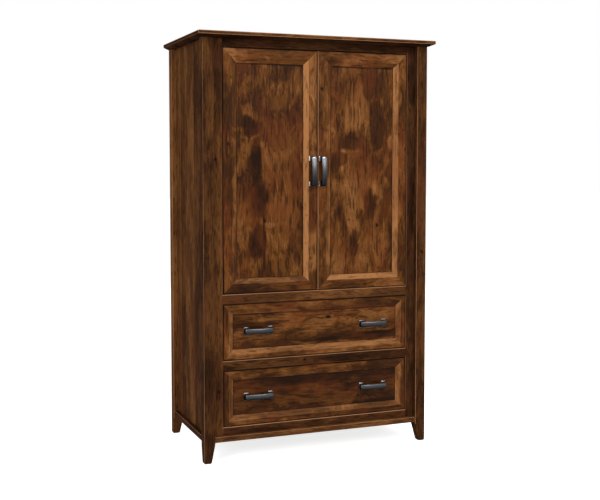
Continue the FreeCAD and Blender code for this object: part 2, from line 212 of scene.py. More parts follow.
@dataclass(frozen=True)
class GrainedWood(Finish):
    """Sawn wood under lacquer, drawn along each board's own grain.

    Sizes are in millimetres. A run is how much longer than wide a feature is, a span is the stretch of its
    noise or distance over which it comes in, and a share is its weight in the lightness or the colour.
    """

    deep: str
    dark: str
    mid: str
    light: str
    warm: str
    worn_and_lit: str
    drift_mm: float = 140.0
    swirl_mm: Point = (90.0, 0.0, 160.0)
    ring_mm: float = 13.0
    ring_profile: tuple[Span, ...] = ((0.0, 0.1), (0.25, 0.75), (0.7, 0.65), (1.0, 0.1))
    ring_share: float = 0.14
    zone_mm: float = 110.0
    zone_run: float = 2.6
    zone_span: Span = (0.39, 0.59)
    zone_share: float = 0.4
    curl_mm: float = 24.0
    curl_run: float = 2.0
    curl_share: float = 0.6
    fleck_mm: float = 6.0
    fleck_run: float = 25 / 3
    fleck_span: Span = (0.52, 0.65)
    fleck_share: float = 0.65
    eye_mm: float = 34.0
    eye_span: Span = (0.3, 0.1)
    eye_share: float = 0.0
    gather_mm: float = 130.0
    gather_span: Span = (0.42, 0.6)
    flush_mm: float = 90.0
    flush_run: float = 2.5
    flush_span: Span = (0.45, 0.7)
    flush_share: float = 0.5
    tear_mm: float = 60.0
    tear_run: float = 2.5
    mark_span: Span = (1.25, 0.45)
    halo_reach: float = 4.0
    halo_turns: float = 2.5
    patch_depth: float = -0.2
    patch_share: float = -0.08
    streak_share: float = 0.2
    tone_step: float = 0.3
    pore_mm: float = 0.3
    sheen_span: Span = (0.2, 0.8)
    roughness: float = 0.42
    gloss: float = 0.04
    knots: tuple[Mark, ...] = ()
    patches: tuple[Mark, ...] = ()
    streaks: tuple[Mark, ...] = ()

    def shader(self, tree: Tree) -> Node:
        """Joins the figure, its colours, the sheen and the open grain.

        Args:
            tree: the material's node tree.

        Returns:
            The lacquered surface.
        """
        grain = add(tree, "ShaderNodeAttribute", attribute_name="grain").outputs["Vector"]
        tone, wear_and_highlight = [add(tree, "ShaderNodeAttribute", attribute_name=name).outputs["Fac"]
                     for name in ("tone", "edge")]
        knots, patches, streaks = [self._marks(tree, grain, marks)
                                   for marks in (self.knots, self.patches, self.streaks)]
        halo = self._marks(tree, grain, self.knots, self.halo_reach)
        curl, level = self._figure(tree, grain, tone, halo, patches, streaks)
        fleck = self._flecks(tree, grain)
        # The pale colour on the arrises and bevels is partly stain worn through, partly painted highlight.
        layers = ((fleck, self.deep), (knots, self.deep), (wear_and_highlight, self.worn_and_lit))
        colour = self._colour(tree, grain, level, layers)
        matt, glossy = self.roughness + ROUGH_RISE, self.roughness - ROUGH_FALL
        sheen = add(tree, "ShaderNodeMapRange", (curl, *self.sheen_span, matt, glossy))
        height = add(tree, "ShaderNodeMath", (fleck, -1.0), operation="MULTIPLY")
        relief = add(tree, "ShaderNodeBump", {
            "Strength": 0.25, "Distance": self.pore_mm * MM, "Height": height})
        return add(tree, "ShaderNodeBsdfPrincipled", {
            "Base Color": colour, "Roughness": sheen, "Normal": relief, "IOR": 1.5,
            "Specular IOR Level": self.gloss})

    def _drawn(self, tree: Tree, place: Feed, size_mm: float, run: float, detail: float,
               rough: float = 0.5) -> Node:
        """Noise that is drawn out along the grain.

        Args:
            tree: the material's node tree.
            place: place in the board as across, depth and along.
            size_mm: size of its features across the grain.
            run: how much longer they are than wide.
            detail: how many finer layers it has.
            rough: how strong those are.

        Returns:
            The noise.
        """
        drawn = add(tree, "ShaderNodeVectorMath", (place, (1.0, 1.0, 1 / run)), operation="MULTIPLY")
        return add(tree, "ShaderNodeTexNoise", {
            "Vector": drawn, "Scale": per_metre(size_mm), "Detail": detail, "Roughness": rough})

    def _marks(self, tree: Tree, grain: Feed, marks: Sequence[Mark], reach: float = 1.0) -> Feed:
        """Closeness to the nearest of some marks, with ragged outlines.

        Args:
            tree: the material's node tree.
            grain: place in the board.
            marks: knots, patches or streaks.
            reach: how many times its size a mark counts over.

        Returns:
            A mark's strength in its middle and 0 outside.
        """
        nearest: Feed = 0.0
        if not marks:
            return nearest
        place = add(tree, "ShaderNodeTexCoord").outputs["Object"]
        torn = self._drawn(tree, grain, self.tear_mm, self.tear_run, 5.0).outputs["Color"]
        ragged = add(tree, "ShaderNodeVectorMath", (torn, (2.0, 0.0, 2.0), (-1.0, 0.0, -1.0)),
                     operation="MULTIPLY_ADD")
        for mark in marks:
            middle = (mark.x * MM, FRONT * MM, mark.z * MM)
            halves = (mark.half_x * reach, mark.half_y, mark.half_z * reach)
            shares = [per_metre(half) for half in halves]
            apart = add(tree, "ShaderNodeVectorMath", (place, middle), operation="SUBTRACT")
            scaled = add(tree, "ShaderNodeVectorMath", (apart, shares, ragged), operation="MULTIPLY_ADD")
            away = add(tree, "ShaderNodeVectorMath", (scaled,), operation="LENGTH").outputs["Value"]
            near = add(tree, "ShaderNodeMapRange", (away, *self.mark_span, 0.0, mark.strength),
                       interpolation_type="SMOOTHSTEP")
            nearest = add(tree, "ShaderNodeMath", (nearest, near), operation="MAXIMUM")
        return nearest

    def _figure(self, tree: Tree, grain: Feed, tone: Feed, halo: Feed, patches: Feed,
                streaks: Feed) -> tuple[Node, Node]:
        """The wood's figure: stain zones that swirl along the grain, curl, and growth rings.

        Args:
            tree: the material's node tree.
            grain: place in the board as across, depth and along.
            tone: how light the board is.
            halo: closeness to the knots, over a wide reach.
            patches: closeness to the mineral patches.
            streaks: closeness to the pale streaks.

        Returns:
            The curl and the level of lightness.
        """
        drift = self._drawn(tree, grain, self.drift_mm, 1.0, 2.0).outputs["Color"]
        swirl = tuple(size * MM for size in self.swirl_mm)
        swirled = add(tree, "ShaderNodeVectorMath", (drift, swirl, grain), operation="MULTIPLY_ADD")
        zone = self._drawn(tree, swirled, self.zone_mm, self.zone_run, 8.0, 0.64)
        zone = add(tree, "ShaderNodeMath", (patches, self.patch_depth, zone), operation="MULTIPLY_ADD")
        zone = add(tree, "ShaderNodeMapRange", (zone, *self.zone_span), interpolation_type="SMOOTHSTEP")
        curl = self._drawn(tree, swirled, self.curl_mm, self.curl_run, 4.0, 0.65)
        radial = add(tree, "ShaderNodeVectorMath", (swirled, (1.0, 1.0, 0.0)), operation="MULTIPLY")
        radius = add(tree, "ShaderNodeVectorMath", (radial,), operation="LENGTH").outputs["Value"]
        phase = add(tree, "ShaderNodeMath", (radius, per_metre(self.ring_mm)), operation="MULTIPLY")
        phase = add(tree, "ShaderNodeMath", (halo, self.halo_turns, phase), operation="MULTIPLY_ADD")
        turn = add(tree, "ShaderNodeMath", (phase,), operation="FRACT")
        rings = stops(add(tree, "ShaderNodeValToRGB", (turn,)),
                      [(place, (grey, grey, grey, 1.0)) for place, grey in self.ring_profile])
        middle = 0.5 - (self.zone_share + self.curl_share + self.ring_share) / 2
        level = add(tree, "ShaderNodeMath", (tone, self.tone_step, middle), operation="MULTIPLY_ADD")
        for part, share in ((zone, self.zone_share), (curl, self.curl_share), (rings, self.ring_share),
                            (patches, self.patch_share), (streaks, self.streak_share)):
            level = add(tree, "ShaderNodeMath", (part, share, level), operation="MULTIPLY_ADD")
        return curl, level

    def _flecks(self, tree: Tree, grain: Feed) -> Node:
        """Short dark dashes along the grain, and eyes where the wood has them.

        Args:
            tree: the material's node tree.
            grain: place in the board.

        Returns:
            How dark a fleck is, and 0 beside it.
        """
        strands = self._drawn(tree, grain, self.fleck_mm, self.fleck_run, 4.0)
        fleck = add(tree, "ShaderNodeMapRange", (strands, *self.fleck_span, 0.0, self.fleck_share),
                    interpolation_type="SMOOTHSTEP")
        if not self.eye_share:
            return fleck
        eyes = add(tree, "ShaderNodeTexVoronoi", {"Vector": grain, "Scale": per_metre(self.eye_mm)})
        spots = add(tree, "ShaderNodeMapRange", (eyes, *self.eye_span, 0.0, self.eye_share),
                    interpolation_type="SMOOTHSTEP")
        gather = self._drawn(tree, grain, self.gather_mm, 1.0, 1.0)
        where = add(tree, "ShaderNodeMapRange", (gather, *self.gather_span),
                    interpolation_type="SMOOTHSTEP")
        kept = add(tree, "ShaderNodeMath", (spots, where), operation="MULTIPLY")
        return add(tree, "ShaderNodeMath", (fleck, kept), operation="MAXIMUM")

    def _colour(self, tree: Tree, grain: Feed, level: Feed, layers: Sequence[tuple[Feed, str]]) -> Feed:
        """Turns the figure into stained colours.

        Args:
            tree: the material's node tree.
            grain: place in the board.
            level: lightness of the figure.
            layers: shares of the colours that lie over it, in order.

        Returns:
            The colour.
        """
        steps = ((0.0, self.deep), (0.3, self.dark), (0.56, self.mid), (1.0, self.light))
        colour = stops(add(tree, "ShaderNodeValToRGB", (level,)),
                       [(place, linear(step)) for place, step in steps])
        flush = self._drawn(tree, grain, self.flush_mm, self.flush_run, 3.0)
        warmth = add(tree, "ShaderNodeMapRange", (flush, *self.flush_span, 0.0, self.flush_share),
                     interpolation_type="SMOOTHSTEP")
        for share, over in ((warmth, self.warm), *layers):
            mixed = add(tree, "ShaderNodeMix", {0: share, 6: colour, 7: linear(over)}, data_type="RGBA")
            colour = mixed.outputs[2]
        return colour


@dataclass(frozen=True)
class Metal(Finish):
    """Worked metal, plated, brushed or cast and lacquered, with an optional pale painted highlight."""

    body: str
    worn: str
    roughness: float
    cloud_mm: float
    grit_mm: float
    relief_mm: float
    painted_highlight: Optional[str] = None

    def shader(self, tree: Tree) -> Node:
        """Joins clouds, grit and worn arrises.

        Args:
            tree: the material's node tree.

        Returns:
            The metal surface.
        """
        place = add(tree, "ShaderNodeTexCoord").outputs["Object"]
        clouds, grit = [add(tree, "ShaderNodeTexNoise", {
            "Vector": place, "Scale": per_metre(size), "Detail": detail})
            for size, detail in ((self.cloud_mm, 4.0), (self.grit_mm, 2.0))]
        colour = stops(add(tree, "ShaderNodeValToRGB", (clouds,)),
                       list(zip(NOISE_SPAN, (linear(self.body), linear(self.worn)))))
        # The pale colour is painted highlight, laid where the piece's edge value asks for it.
        if self.painted_highlight is not None:
            wear_and_highlight = add(tree, "ShaderNodeAttribute", attribute_name="edge").outputs["Fac"]
            mixed = add(tree, "ShaderNodeMix", {0: wear_and_highlight, 6: colour, 7: linear(self.painted_highlight)}, data_type="RGBA")
            colour = mixed.outputs[2]
        glossy, matt = self.roughness - ROUGH_FALL, self.roughness + ROUGH_RISE
        rough = add(tree, "ShaderNodeMapRange", (grit, *NOISE_SPAN, glossy, matt))
        relief = add(tree, "ShaderNodeBump", {
            "Strength": 0.3, "Distance": self.relief_mm * MM, "Height": grit})
        return add(tree, "ShaderNodeBsdfPrincipled", {
            "Base Color": colour, "Metallic": 1.0, "Roughness": rough, "Normal": relief})


@dataclass(frozen=True)
class MouldedPlastic(Finish):
    """Injection-moulded plastic with a fine spark-eroded texture."""

    body: str
    shade: str
    texture_mm: float
    relief_mm: float = 0.1
    rough_span: Span = (0.5, 0.62)

    def shader(self, tree: Tree) -> Node:
        """Draws the texture in colour, sheen and relief.

        Args:
            tree: the material's node tree.

        Returns:
            The plastic surface.
        """
        place = add(tree, "ShaderNodeTexCoord").outputs["Object"]
        texture = add(tree, "ShaderNodeTexNoise", {
            "Vector": place, "Scale": per_metre(self.texture_mm), "Detail": 3.0})
        colour = stops(add(tree, "ShaderNodeValToRGB", (texture,)),
                       list(zip(NOISE_SPAN, (linear(self.shade), linear(self.body)))))
        rough = add(tree, "ShaderNodeMapRange", (texture, *NOISE_SPAN, *self.rough_span))
        relief = add(tree, "ShaderNodeBump", {
            "Strength": 0.3, "Distance": self.relief_mm * MM, "Height": texture})
        return add(tree, "ShaderNodeBsdfPrincipled", {
            "Base Color": colour, "Roughness": rough, "Normal": relief, "IOR": 1.5})


# Knotty cherry, sawn flat, wiped with a dark brown stain and sprayed with satin lacquer: zones where the
# stain sinks in, dark knots, a fine curl, and a soft sheen. Rings and flecks are drawn coarser than life so
# that they show. The gloss is set low, the case's most of all: its dark sides stand in a white room.
CASE_CHERRY = GrainedWood(
    "dark_stained_cherry", "case_wood", deep="#190e08", dark="#311d10", mid="#4c2f18", light="#774d2a",
    warm="#492717", worn_and_lit="#a17556", zone_share=0.3, curl_share=0.5, zone_run=4.0, roughness=0.5,
    gloss=0.001,
    knots=(Mark(-466, 310, 7, 9), Mark(-478, 1330, 6, 8), Mark(520, 900, 7, 10), Mark(-60, 425, 9, 6)),
    patches=(Mark(-466, 330, 14, 60), Mark(470, 1100, 16, 120), Mark(120, 420, 130, 13),
             Mark(-260, 120, 150, 12), Mark(-462, 1690, 18, 120)))
FRONT_CHERRY = GrainedWood(
    "warm_stained_cherry", "front_wood", deep="#1b0c04", dark="#361d0a", mid="#543112", light="#835630",
    warm="#582b12", worn_and_lit="#b58258", zone_mm=85.0, zone_share=0.42, eye_share=0.55, fleck_mm=8.0,
    knots=(Mark(-252, 1061, 9, 12), Mark(305, 1030, 8, 11), Mark(62, 613, 16, 10), Mark(20, 1650, 8, 9),
           Mark(-420, 1400, 6, 8), Mark(-300, 265, 10, 7), Mark(210, 240, 9, 6), Mark(318, 531, 85, 11),
           Mark(40, 513, 90, 10)),
    patches=(Mark(-290, 1310, 26, 110, 1.8), Mark(-285, 1150, 40, 75, 1.8), Mark(-280, 965, 42, 80, 1.6),
             Mark(-317, 1471, 45, 50, 1.6), Mark(-109, 1530, 36, 42), Mark(163, 1403, 45, 45),
             Mark(118, 1329, 42, 30), Mark(285, 1680, 60, 75), Mark(300, 1467, 40, 110),
             Mark(262, 1138, 48, 65), Mark(185, 937, 26, 90), Mark(170, 517, 230, 20, 2.4),
             Mark(-300, 600, 120, 16), Mark(-430, 1390, 9, 60), Mark(-60, 330, 160, 24),
             Mark(300, 200, 90, 18)),
    streaks=(Mark(-362, 1462, 34, 12), Mark(-318, 1428, 34, 13), Mark(-272, 1396, 32, 13),
             Mark(-238, 1350, 14, 46), Mark(-228, 1042, 26, 14), Mark(150, 1370, 60, 10),
             Mark(128, 1322, 14, 44), Mark(285, 1215, 16, 60), Mark(-420, 1735, 30, 120, 1.8),
             Mark(30, 1600, 20, 120), Mark(-118, 1665, 60, 85, 1.6), Mark(-190, 1610, 60, 75, 1.4)))
# Maple, planed and clear-lacquered: pale, nearly plain, with faint rings, drawn coarser than life.
PALE_MAPLE = GrainedWood(
    "clear_lacquered_maple", "pale_drawer_wood", deep="#8d6b45", dark="#b08a5e", mid="#c7a478",
    light="#d9bd94", warm="#c79a68", worn_and_lit="#dcc29c", ring_mm=9.0, zone_share=0.15, curl_share=0.3,
    fleck_share=0.25)
# Birch plywood, stained brown and dull: soft wide figure from the peeled face, flecks coarser than life.
BROWN_PLYWOOD = GrainedWood(
    "brown_stained_plywood", "brown_back_board", deep="#24150b", dark="#3d2513", mid="#54351c",
    light="#755031", warm="#4c2a14", worn_and_lit="#7c5836", ring_mm=22.0, zone_mm=180.0, zone_share=0.2,
    curl_share=0.3, fleck_share=0.35, roughness=0.5)
# Zinc alloy, cast, darkened to antique pewter under lacquer: dark grey; the pale colour is painted
# highlight.
# The grit of the metals and the plastic is drawn coarser than life so that it shows.
ANTIQUE_PEWTER = Metal("antique_pewter", "pewter_pull", body="#0d0e11", worn="#1a1c1f", roughness=0.3,
                       cloud_mm=9.0, grit_mm=1.2, relief_mm=0.05, painted_highlight="#b9bcc0")
# Cold-rolled steel, roll-formed and zinc-plated: bright, faintly clouded.
ZINC_STEEL = Metal("zinc_plated_steel", "zinc_slide", body="#b4b7b8", worn="#d2d4d3", roughness=0.36,
                   cloud_mm=14.0, grit_mm=1.5, relief_mm=0.03)
# Sheet brass, stamped and browned: nearly as dark as the wood, with a dull yellow bloom.
STAMPED_BRASS = Metal("darkened_brass", "brass_hinge", body="#2a2113", worn="#4b3b20", roughness=0.4,
                      cloud_mm=8.0, grit_mm=1.2, relief_mm=0.04)
# Steel, turned and nickel-plated: pale warm grey, smooth.
NICKEL_STEEL = Metal("nickel_plated_steel", "nickel_fitting", body="#b9b5ac", worn="#d5d1c8",
                     roughness=0.26, cloud_mm=6.0, grit_mm=1.0, relief_mm=0.02)
# Polypropylene, moulded in brown: dull with a fine texture.
BROWN_PLASTIC = MouldedPlastic("brown_polypropylene", "brown_plastic", body="#4a3422", shade="#3a2819",
                               texture_mm=1.5)
FINISHES: tuple[Finish, ...] = (CASE_CHERRY, FRONT_CHERRY, PALE_MAPLE, BROWN_PLYWOOD, ANTIQUE_PEWTER,
                                ZINC_STEEL, STAMPED_BRASS, NICKEL_STEEL, BROWN_PLASTIC)


class FinishShop:
    """Keeps one material for each finish."""

    def __init__(self, finishes: Sequence[Finish]) -> None:
        """Builds every material once.

        Args:
            finishes: the finishes of the armoire.
        """
        self._made = {finish.slot: finish.material() for finish in finishes}

    def material(self, finish: Finish) -> bpy.types.Material:
        """The material of a finish."""
        return self._made[finish.slot]

    def dress(self, piece: bpy.types.Object, finish: Finish) -> None:
        """Gives a piece one finish on all its faces."""
        piece.data.materials.clear()
        piece.data.materials.append(self.material(finish))

    def dress_node(self, node: str, finish: Finish) -> None:
        """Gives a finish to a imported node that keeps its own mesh."""
        self.dress(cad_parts[node], finish)
        LOG.info("%s keeps its packed shape", node)


def shown(name: str, mesh: bpy.types.Mesh) -> bpy.types.Object:
    """Puts a mesh into the scene at the origin.

    Args:
        name: the piece's name.
        mesh: its mesh, already in place.

    Returns:
        The new object.
    """
    piece = bpy.data.objects.new(name, mesh)
    bpy.context.scene.collection.objects.link(piece)
    return piece


def settled(piece: bpy.types.Object) -> bpy.types.Mesh:
    """Swaps a piece's mesh for a plain one with its modifiers applied.

    Args:
        piece: the object with live modifiers.

    Returns:
        The new mesh.
    """
    graph = bpy.context.evaluated_depsgraph_get()
    mesh = bpy.data.meshes.new_from_object(piece.evaluated_get(graph), depsgraph=graph)
    piece.modifiers.clear()
    piece.data = mesh
    return mesh


def seated(piece: bpy.types.Object, body: str, nodes: Sequence[str]) -> None:
    """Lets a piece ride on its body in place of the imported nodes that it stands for.

    Args:
        piece: the finished object.
        body: the body it moves with.
        nodes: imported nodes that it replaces.
    """
    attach(piece, body)
    if nodes:
        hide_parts(*nodes)
    LOG.info("%s rides on %s, %d faces", piece.name, body, len(piece.data.polygons))


def skinned(target: bmesh.types.BMesh, outlines: Sequence[Outline]) -> list[bmesh.types.BMFace]:
    """Skins matching closed outlines and closes the two ends.

    Args:
        target: the mesh that takes the faces.
        outlines: rings of points, in order.

    Returns:
        The new faces.
    """
    rings = [[target.verts.new(point) for point in outline] for outline in outlines]
    faces = [target.faces.new(ring) for ring in (rings[0], rings[-1])]
    for lower, upper in zip(rings, rings[1:]):
        for index in range(len(lower)):
            after = (index + 1) % len(lower)
            faces.append(target.faces.new((lower[index], lower[after], upper[after], upper[index])))
    bmesh.ops.recalc_face_normals(target, faces=faces)
    return faces


def varied(chance: random.Random, most: float) -> float:
    """A chance value up to so much to either side of 0."""
    return chance.uniform(-most, most)


def values_of(items: bpy.types.bpy_prop_collection, field: str, kind: type, width: int = 1) -> np.ndarray:
    """Reads one field of many mesh items.

    Args:
        items: points, corners, faces or the values of an attribute.
        field: the field's name.
        kind: the type of its numbers.
        width: how many numbers an item has.

    Returns:
        A number for each item, or a row of them.
    """
    values = np.zeros(len(items) * width, dtype=kind)
    items.foreach_get(field, values)
    return values if width == 1 else values.reshape(-1, width)


@dataclass(frozen=True)
class Board:
    """One board of a piece: how its grain runs, how light it is, and the painted highlight on its bevels."""

    grain: Axis
    tone: float = 0.0
    lift: float = 0.0


@dataclass
class Timber:
    """A wooden piece, put together from closed boards, with its arrises eased.

    A wear-and-highlight share, up to 1, is how much of the pale colour shows: on the arrises, where it is
    stain worn through and painted highlight; on those that face the middle of the armoire, where they
    differ, as painted highlight; and on a bevel, as painted highlight, for each tone of painted light that
    it has. Arrises that look down get less of it, as painted shade. The darkening fields are in tones: end
    grain takes more stain; edges in the gaps, chamfers and faces that look down get painted shade; and a
    border gets painted shade, on panels with gathered stain too. A span bounds the largest part of a face's
    direction, which tells bevels and chamfers from flat faces. The last seven fields bound how seams,
    grain and tones vary.
    """

    name: str
    ease_mm: float = 1.3
    wear_and_highlight: float = 0.6
    painted_gap_shade: float = 0.0
    inner_arris_highlight: Optional[float] = None
    bevel_painted_sheen: float = 0.07
    under_highlight_share: float = 0.3
    painted_under_shade: float = 1.8
    end_grain_stain: float = 1.3
    bevel_span: Span = (0.8, 0.98)
    chamfer_span: Span = (0.6, 0.8)
    flat_angle: float = math.radians(1)
    sharp_angle: float = math.radians(28)
    shortest_arris_mm: float = 9.0
    merge_mm: float = 0.01
    cut_tolerance_mm: float = 0.001
    seam_share: float = 0.22
    heart_share: float = 0.45
    heart_depth_mm: Span = (12.0, 60.0)
    grain_start_m: float = 4.0
    stave_across_mm: float = 25.0
    stave_along_mm: float = 70.0
    tone_spread: float = 0.05

    def __post_init__(self) -> None:
        """Starts an empty mesh, whose faces carry their board and a darkening of stain and painted shade."""
        self.boards: list[Board] = []
        self._mesh = bmesh.new()
        self._tag = self._mesh.faces.layers.int.new("board")
        self._stain = self._mesh.faces.layers.float.new("stain")
        self._glued = False

    def add_skin(self, outlines: Sequence[Outline], board: Board) -> None:
        """Adds a board between matching outlines.

        Args:
            outlines: rings of points, in order.
            board: its grain and tone.
        """
        for face in skinned(self._mesh, outlines):
            face[self._tag] = len(self.boards)
        self.boards.append(board)

    def add_box(self, low: Sequence[float], high: Sequence[float], board: Board) -> None:
        """Adds a square-edged board.

        Args:
            low: its lowest corner in metres.
            high: its highest corner in metres.
            board: its grain and tone.
        """
        plan = [(low[0], low[1]), (high[0], low[1]), (high[0], high[1]), (low[0], high[1])]
        self.add_skin([[Vector((x, y, z)) for x, y in plan] for z in (low[2], high[2])], board)

    def add_node(self, node: str, board: Board) -> None:
        """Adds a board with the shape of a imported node, its triangles merged to whole faces.

        Args:
            node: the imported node.
            board: its grain and tone.
        """
        copy = bmesh.new()
        copy.from_mesh(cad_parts[node].data)
        bmesh.ops.remove_doubles(copy, verts=copy.verts, dist=self.merge_mm * MM)
        bmesh.ops.dissolve_limit(copy, angle_limit=self.flat_angle, verts=copy.verts, edges=copy.edges)
        points = {vert: self._mesh.verts.new(vert.co) for vert in copy.verts}
        for face in copy.faces:
            taken = self._mesh.faces.new([points[vert] for vert in face.verts])
            taken[self._tag] = len(self.boards)
        copy.free()
        self.boards.append(board)

    def _cut(self, across: Axis, value: float) -> None:
        """Divides the faces along a plane and leaves the shape as it is.

        Args:
            across: the axis that stands on the plane.
            value: where the plane crosses it, in metres.
        """
        normal = Vector([float(axis is across) for axis in Axis])
        geometry = [*self._mesh.verts, *self._mesh.edges, *self._mesh.faces]
        bmesh.ops.bisect_plane(self._mesh, geom=geometry, dist=self.cut_tolerance_mm * MM,
                               plane_co=normal * value, plane_no=normal)

    def saw(self, across: Axis, tones: Sequence[float]) -> None:
        """Divides a one-board piece into glued staves, which share its faces.

        Args:
            across: the axis that the staves lie along, side by side.
            tones: the staves' tones, in order.
        """
        whole = self.boards[0]
        values = [vert.co[across.value] for vert in self._mesh.verts]
        low, width = min(values), max(values) - min(values)
        count = len(tones)
        chance = random.Random(self.name)
        shifts = [varied(chance, self.seam_share) for _ in range(1, count)]
        seams = [low + width * (index + shift) / count for index, shift in enumerate(shifts, 1)]
        for seam in seams:
            self._cut(across, seam)
        for face in self._mesh.faces:
            middle = face.calc_center_median()[across.value]
            face[self._tag] = sum(middle > seam for seam in seams)
        self.boards = [Board(whole.grain, tone) for tone in tones]
        self._glued = True

    def darken_border(self, low: Vector, high: Vector, depth: float) -> None:
        """Darkens the front along its border: painted shade, and on a panel gathered stain too.

        Args:
            low: lowest X and Z that stay clear, in metres.
            high: highest X and Z that stay clear.
            depth: how much darker the border is, in tones.
        """
        for axis in (Axis.X, Axis.Z):
            for corner in (low, high):
                self._cut(axis, corner[axis.value])
        for face in self._mesh.faces:
            middle = face.calc_center_median()
            if not (low.x < middle.x < high.x and low.z < middle.z < high.z):
                face[self._stain] = depth

    def _weigh_arrises(self) -> None:
        """Marks the long sharp arrises for easing, and keeps short ones and mitres crisp."""
        weight = self._mesh.edges.layers.float.new("bevel_weight_edge")
        for edge in self._mesh.edges:
            if len(edge.link_faces) == 2 and edge.calc_face_angle() > self.sharp_angle:
                run = (edge.verts[1].co - edge.verts[0].co).normalized()
                straight = max(abs(part) for part in run) > IN_LINE
                edge[weight] = float(straight and edge.calc_length() > self.shortest_arris_mm * MM)

    def piece(self, shop: FinishShop, wood: GrainedWood, body: str, *nodes: str) -> None:
        """Eases the arrises, lays the grain and seats the piece.

        Args:
            shop: the materials.
            wood: the piece's finish.
            body: the body it moves with.
            nodes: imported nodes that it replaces.
        """
        self._weigh_arrises()
        rough = bpy.data.meshes.new(self.name)
        self._mesh.to_mesh(rough)
        self._mesh.free()
        piece = shown(self.name, rough)
        for _ in range(2):
            rough.materials.append(shop.material(wood))
        ease = piece.modifiers.new("eased_arrises", "BEVEL")
        ease.limit_method = "WEIGHT"
        ease.width = self.ease_mm * MM
        ease.segments = 2
        ease.material = 1
        ease.use_clamp_overlap = False
        self._lay_grain(settled(piece))
        bpy.data.meshes.remove(rough)
        shop.dress(piece, wood)
        seated(piece, body, nodes)

    def _lay_grain(self, mesh: bpy.types.Mesh) -> None:
        """Writes grain, tone with painted light and shade, and the pale share; smooths the eased arrises.

        Args:
            mesh: the eased mesh, whose faces name their boards.
        """
        tags = values_of(mesh.attributes["board"].data, "value", np.int32)
        eased = values_of(mesh.polygons, "material_index", np.int32) == 1
        owners = np.repeat(tags, values_of(mesh.polygons, "loop_total", np.int32))
        corners = values_of(mesh.loops, "vertex_index", np.int32)
        points = values_of(mesh.vertices, "co", np.float64, 3)[corners]
        normals = values_of(mesh.polygons, "normal", np.float64, 3)
        stain = values_of(mesh.attributes["stain"].data, "value", np.float64)
        steepest = np.abs(normals).max(1)
        bevels = (steepest > self.bevel_span[0]) & (steepest < self.bevel_span[1])
        chamfers = (steepest > self.chamfer_span[0]) & (steepest <= self.chamfer_span[1])
        worn_and_lit = self._paint_wear_light_and_shade(normals, eased, chamfers, stain, np.sign(points[:, 0].mean()))
        grain = np.zeros_like(points)
        tones = -stain
        whole = points.min(0), points.max(0)
        for index, board in enumerate(self.boards):
            own = tags == index
            mine = points[owners == index]
            low, high = whole if self._glued else (mine.min(0), mine.max(0))
            others = [axis.value for axis in Axis if axis is not board.grain]
            across, depth = sorted(others, key=lambda axis: low[axis] - high[axis])
            chance = random.Random(self.name if self._glued else f"{self.name} {index}")
            middle = (low + high) / 2
            width = high[across] - low[across]
            laid = np.stack([mine[:, across] - middle[across] + varied(chance, self.heart_share) * width,
                             mine[:, depth] - middle[depth] + chance.uniform(*self.heart_depth_mm) * MM,
                             mine[:, board.grain.value] + varied(chance, self.grain_start_m)], axis=1)
            if self._glued:
                chance = random.Random(f"{self.name} {index}")
                laid[:, 0] += varied(chance, self.stave_across_mm) * MM
                laid[:, 2] += varied(chance, self.stave_along_mm) * MM
            grain[owners == index] = laid
            tones[own] += board.tone + varied(chance, self.tone_spread)
            # Painted highlight on the bevels: a lighter tone and some pale colour.
            tones[own & bevels] += board.lift
            worn_and_lit[own & bevels & ~eased] += self.bevel_painted_sheen * board.lift
            tones[own & (np.abs(normals[:, board.grain.value]) > IN_LINE)] -= self.end_grain_stain
        mesh.attributes.new("grain", "FLOAT_VECTOR", "CORNER").data.foreach_set("vector", grain.ravel())
        mesh.attributes.new("tone", "FLOAT", "FACE").data.foreach_set("value", tones)
        mesh.attributes.new("edge", "FLOAT", "FACE").data.foreach_set("value", worn_and_lit)
        mesh.polygons.foreach_set("use_smooth", eased)
        mesh.polygons.foreach_set("material_index", np.zeros(len(tags), dtype=np.int32))

    def _paint_wear_light_and_shade(self, normals: np.ndarray, eased: np.ndarray, chamfers: np.ndarray,
                       stain: np.ndarray, outward: float) -> np.ndarray:
        """Rubs the arrises, and adds to the stain of edges and undersides.

        Args:
            normals: the faces' directions.
            eased: which faces are eased arrises.
            chamfers: which faces slope at about half a right angle.
            stain: the faces' stain and painted shade, changed here. A darkened border gets no pale colour.
            outward: sign of the piece's side of the armoire.

        Returns:
            How much pale colour each face gets, as worn stain and painted highlight.
        """
        # Pale colour on the arrises is worn stain and painted highlight, set apart where an arris faces the
        # middle.
        arrises = np.where(stain > 0, 0.0, self.wear_and_highlight)
        if self.inner_arris_highlight is not None:
            arrises[normals[:, 0] * outward < -LEANING] = self.inner_arris_highlight
        worn_and_lit = np.where(eased | chamfers, arrises, 0.0)
        # Arrises that look down keep less of the pale colour: painted shade.
        worn_and_lit[normals[:, 2] < -LEANING] *= self.under_highlight_share
        # Painted shade on the edges in the gaps and on the chamfers beside them.
        stain[(np.abs(normals[:, 1]) < LEANING) & ~eased] += self.painted_gap_shade
        stain += np.where(chamfers & ~eased, self.painted_gap_shade * (1 - arrises), 0.0)
        # Painted shade on faces that look down, such as the top's under-bevel.
        stain[normals[:, 2] < -TURNED] += self.painted_under_shade
        return worn_and_lit


@dataclass(frozen=True)
class CaseBoard:
    """A fixed wooden node: its grain, its tone, and its staves where it is glued up."""

    node: str
    grain: Axis
    tone: float
    wood: GrainedWood = CASE_CHERRY
    across: Optional[Axis] = None
    staves: tuple[float, ...] = ()
    ease_mm: float = 1.3
    wear_and_highlight: float = 0.8
    inner_arris_highlight: Optional[float] = None

    def build(self, shop: FinishShop) -> None:
        """Builds and seats the board.

        Args:
            shop: the materials.
        """
        timber = Timber(self.node + "_board", self.ease_mm, self.wear_and_highlight, inner_arris_highlight=self.inner_arris_highlight)
        timber.add_node(self.node, Board(self.grain, self.tone))
        if self.across is not None:
            timber.saw(self.across, [self.tone + stave for stave in self.staves])
        timber.piece(shop, self.wood, "case", self.node)


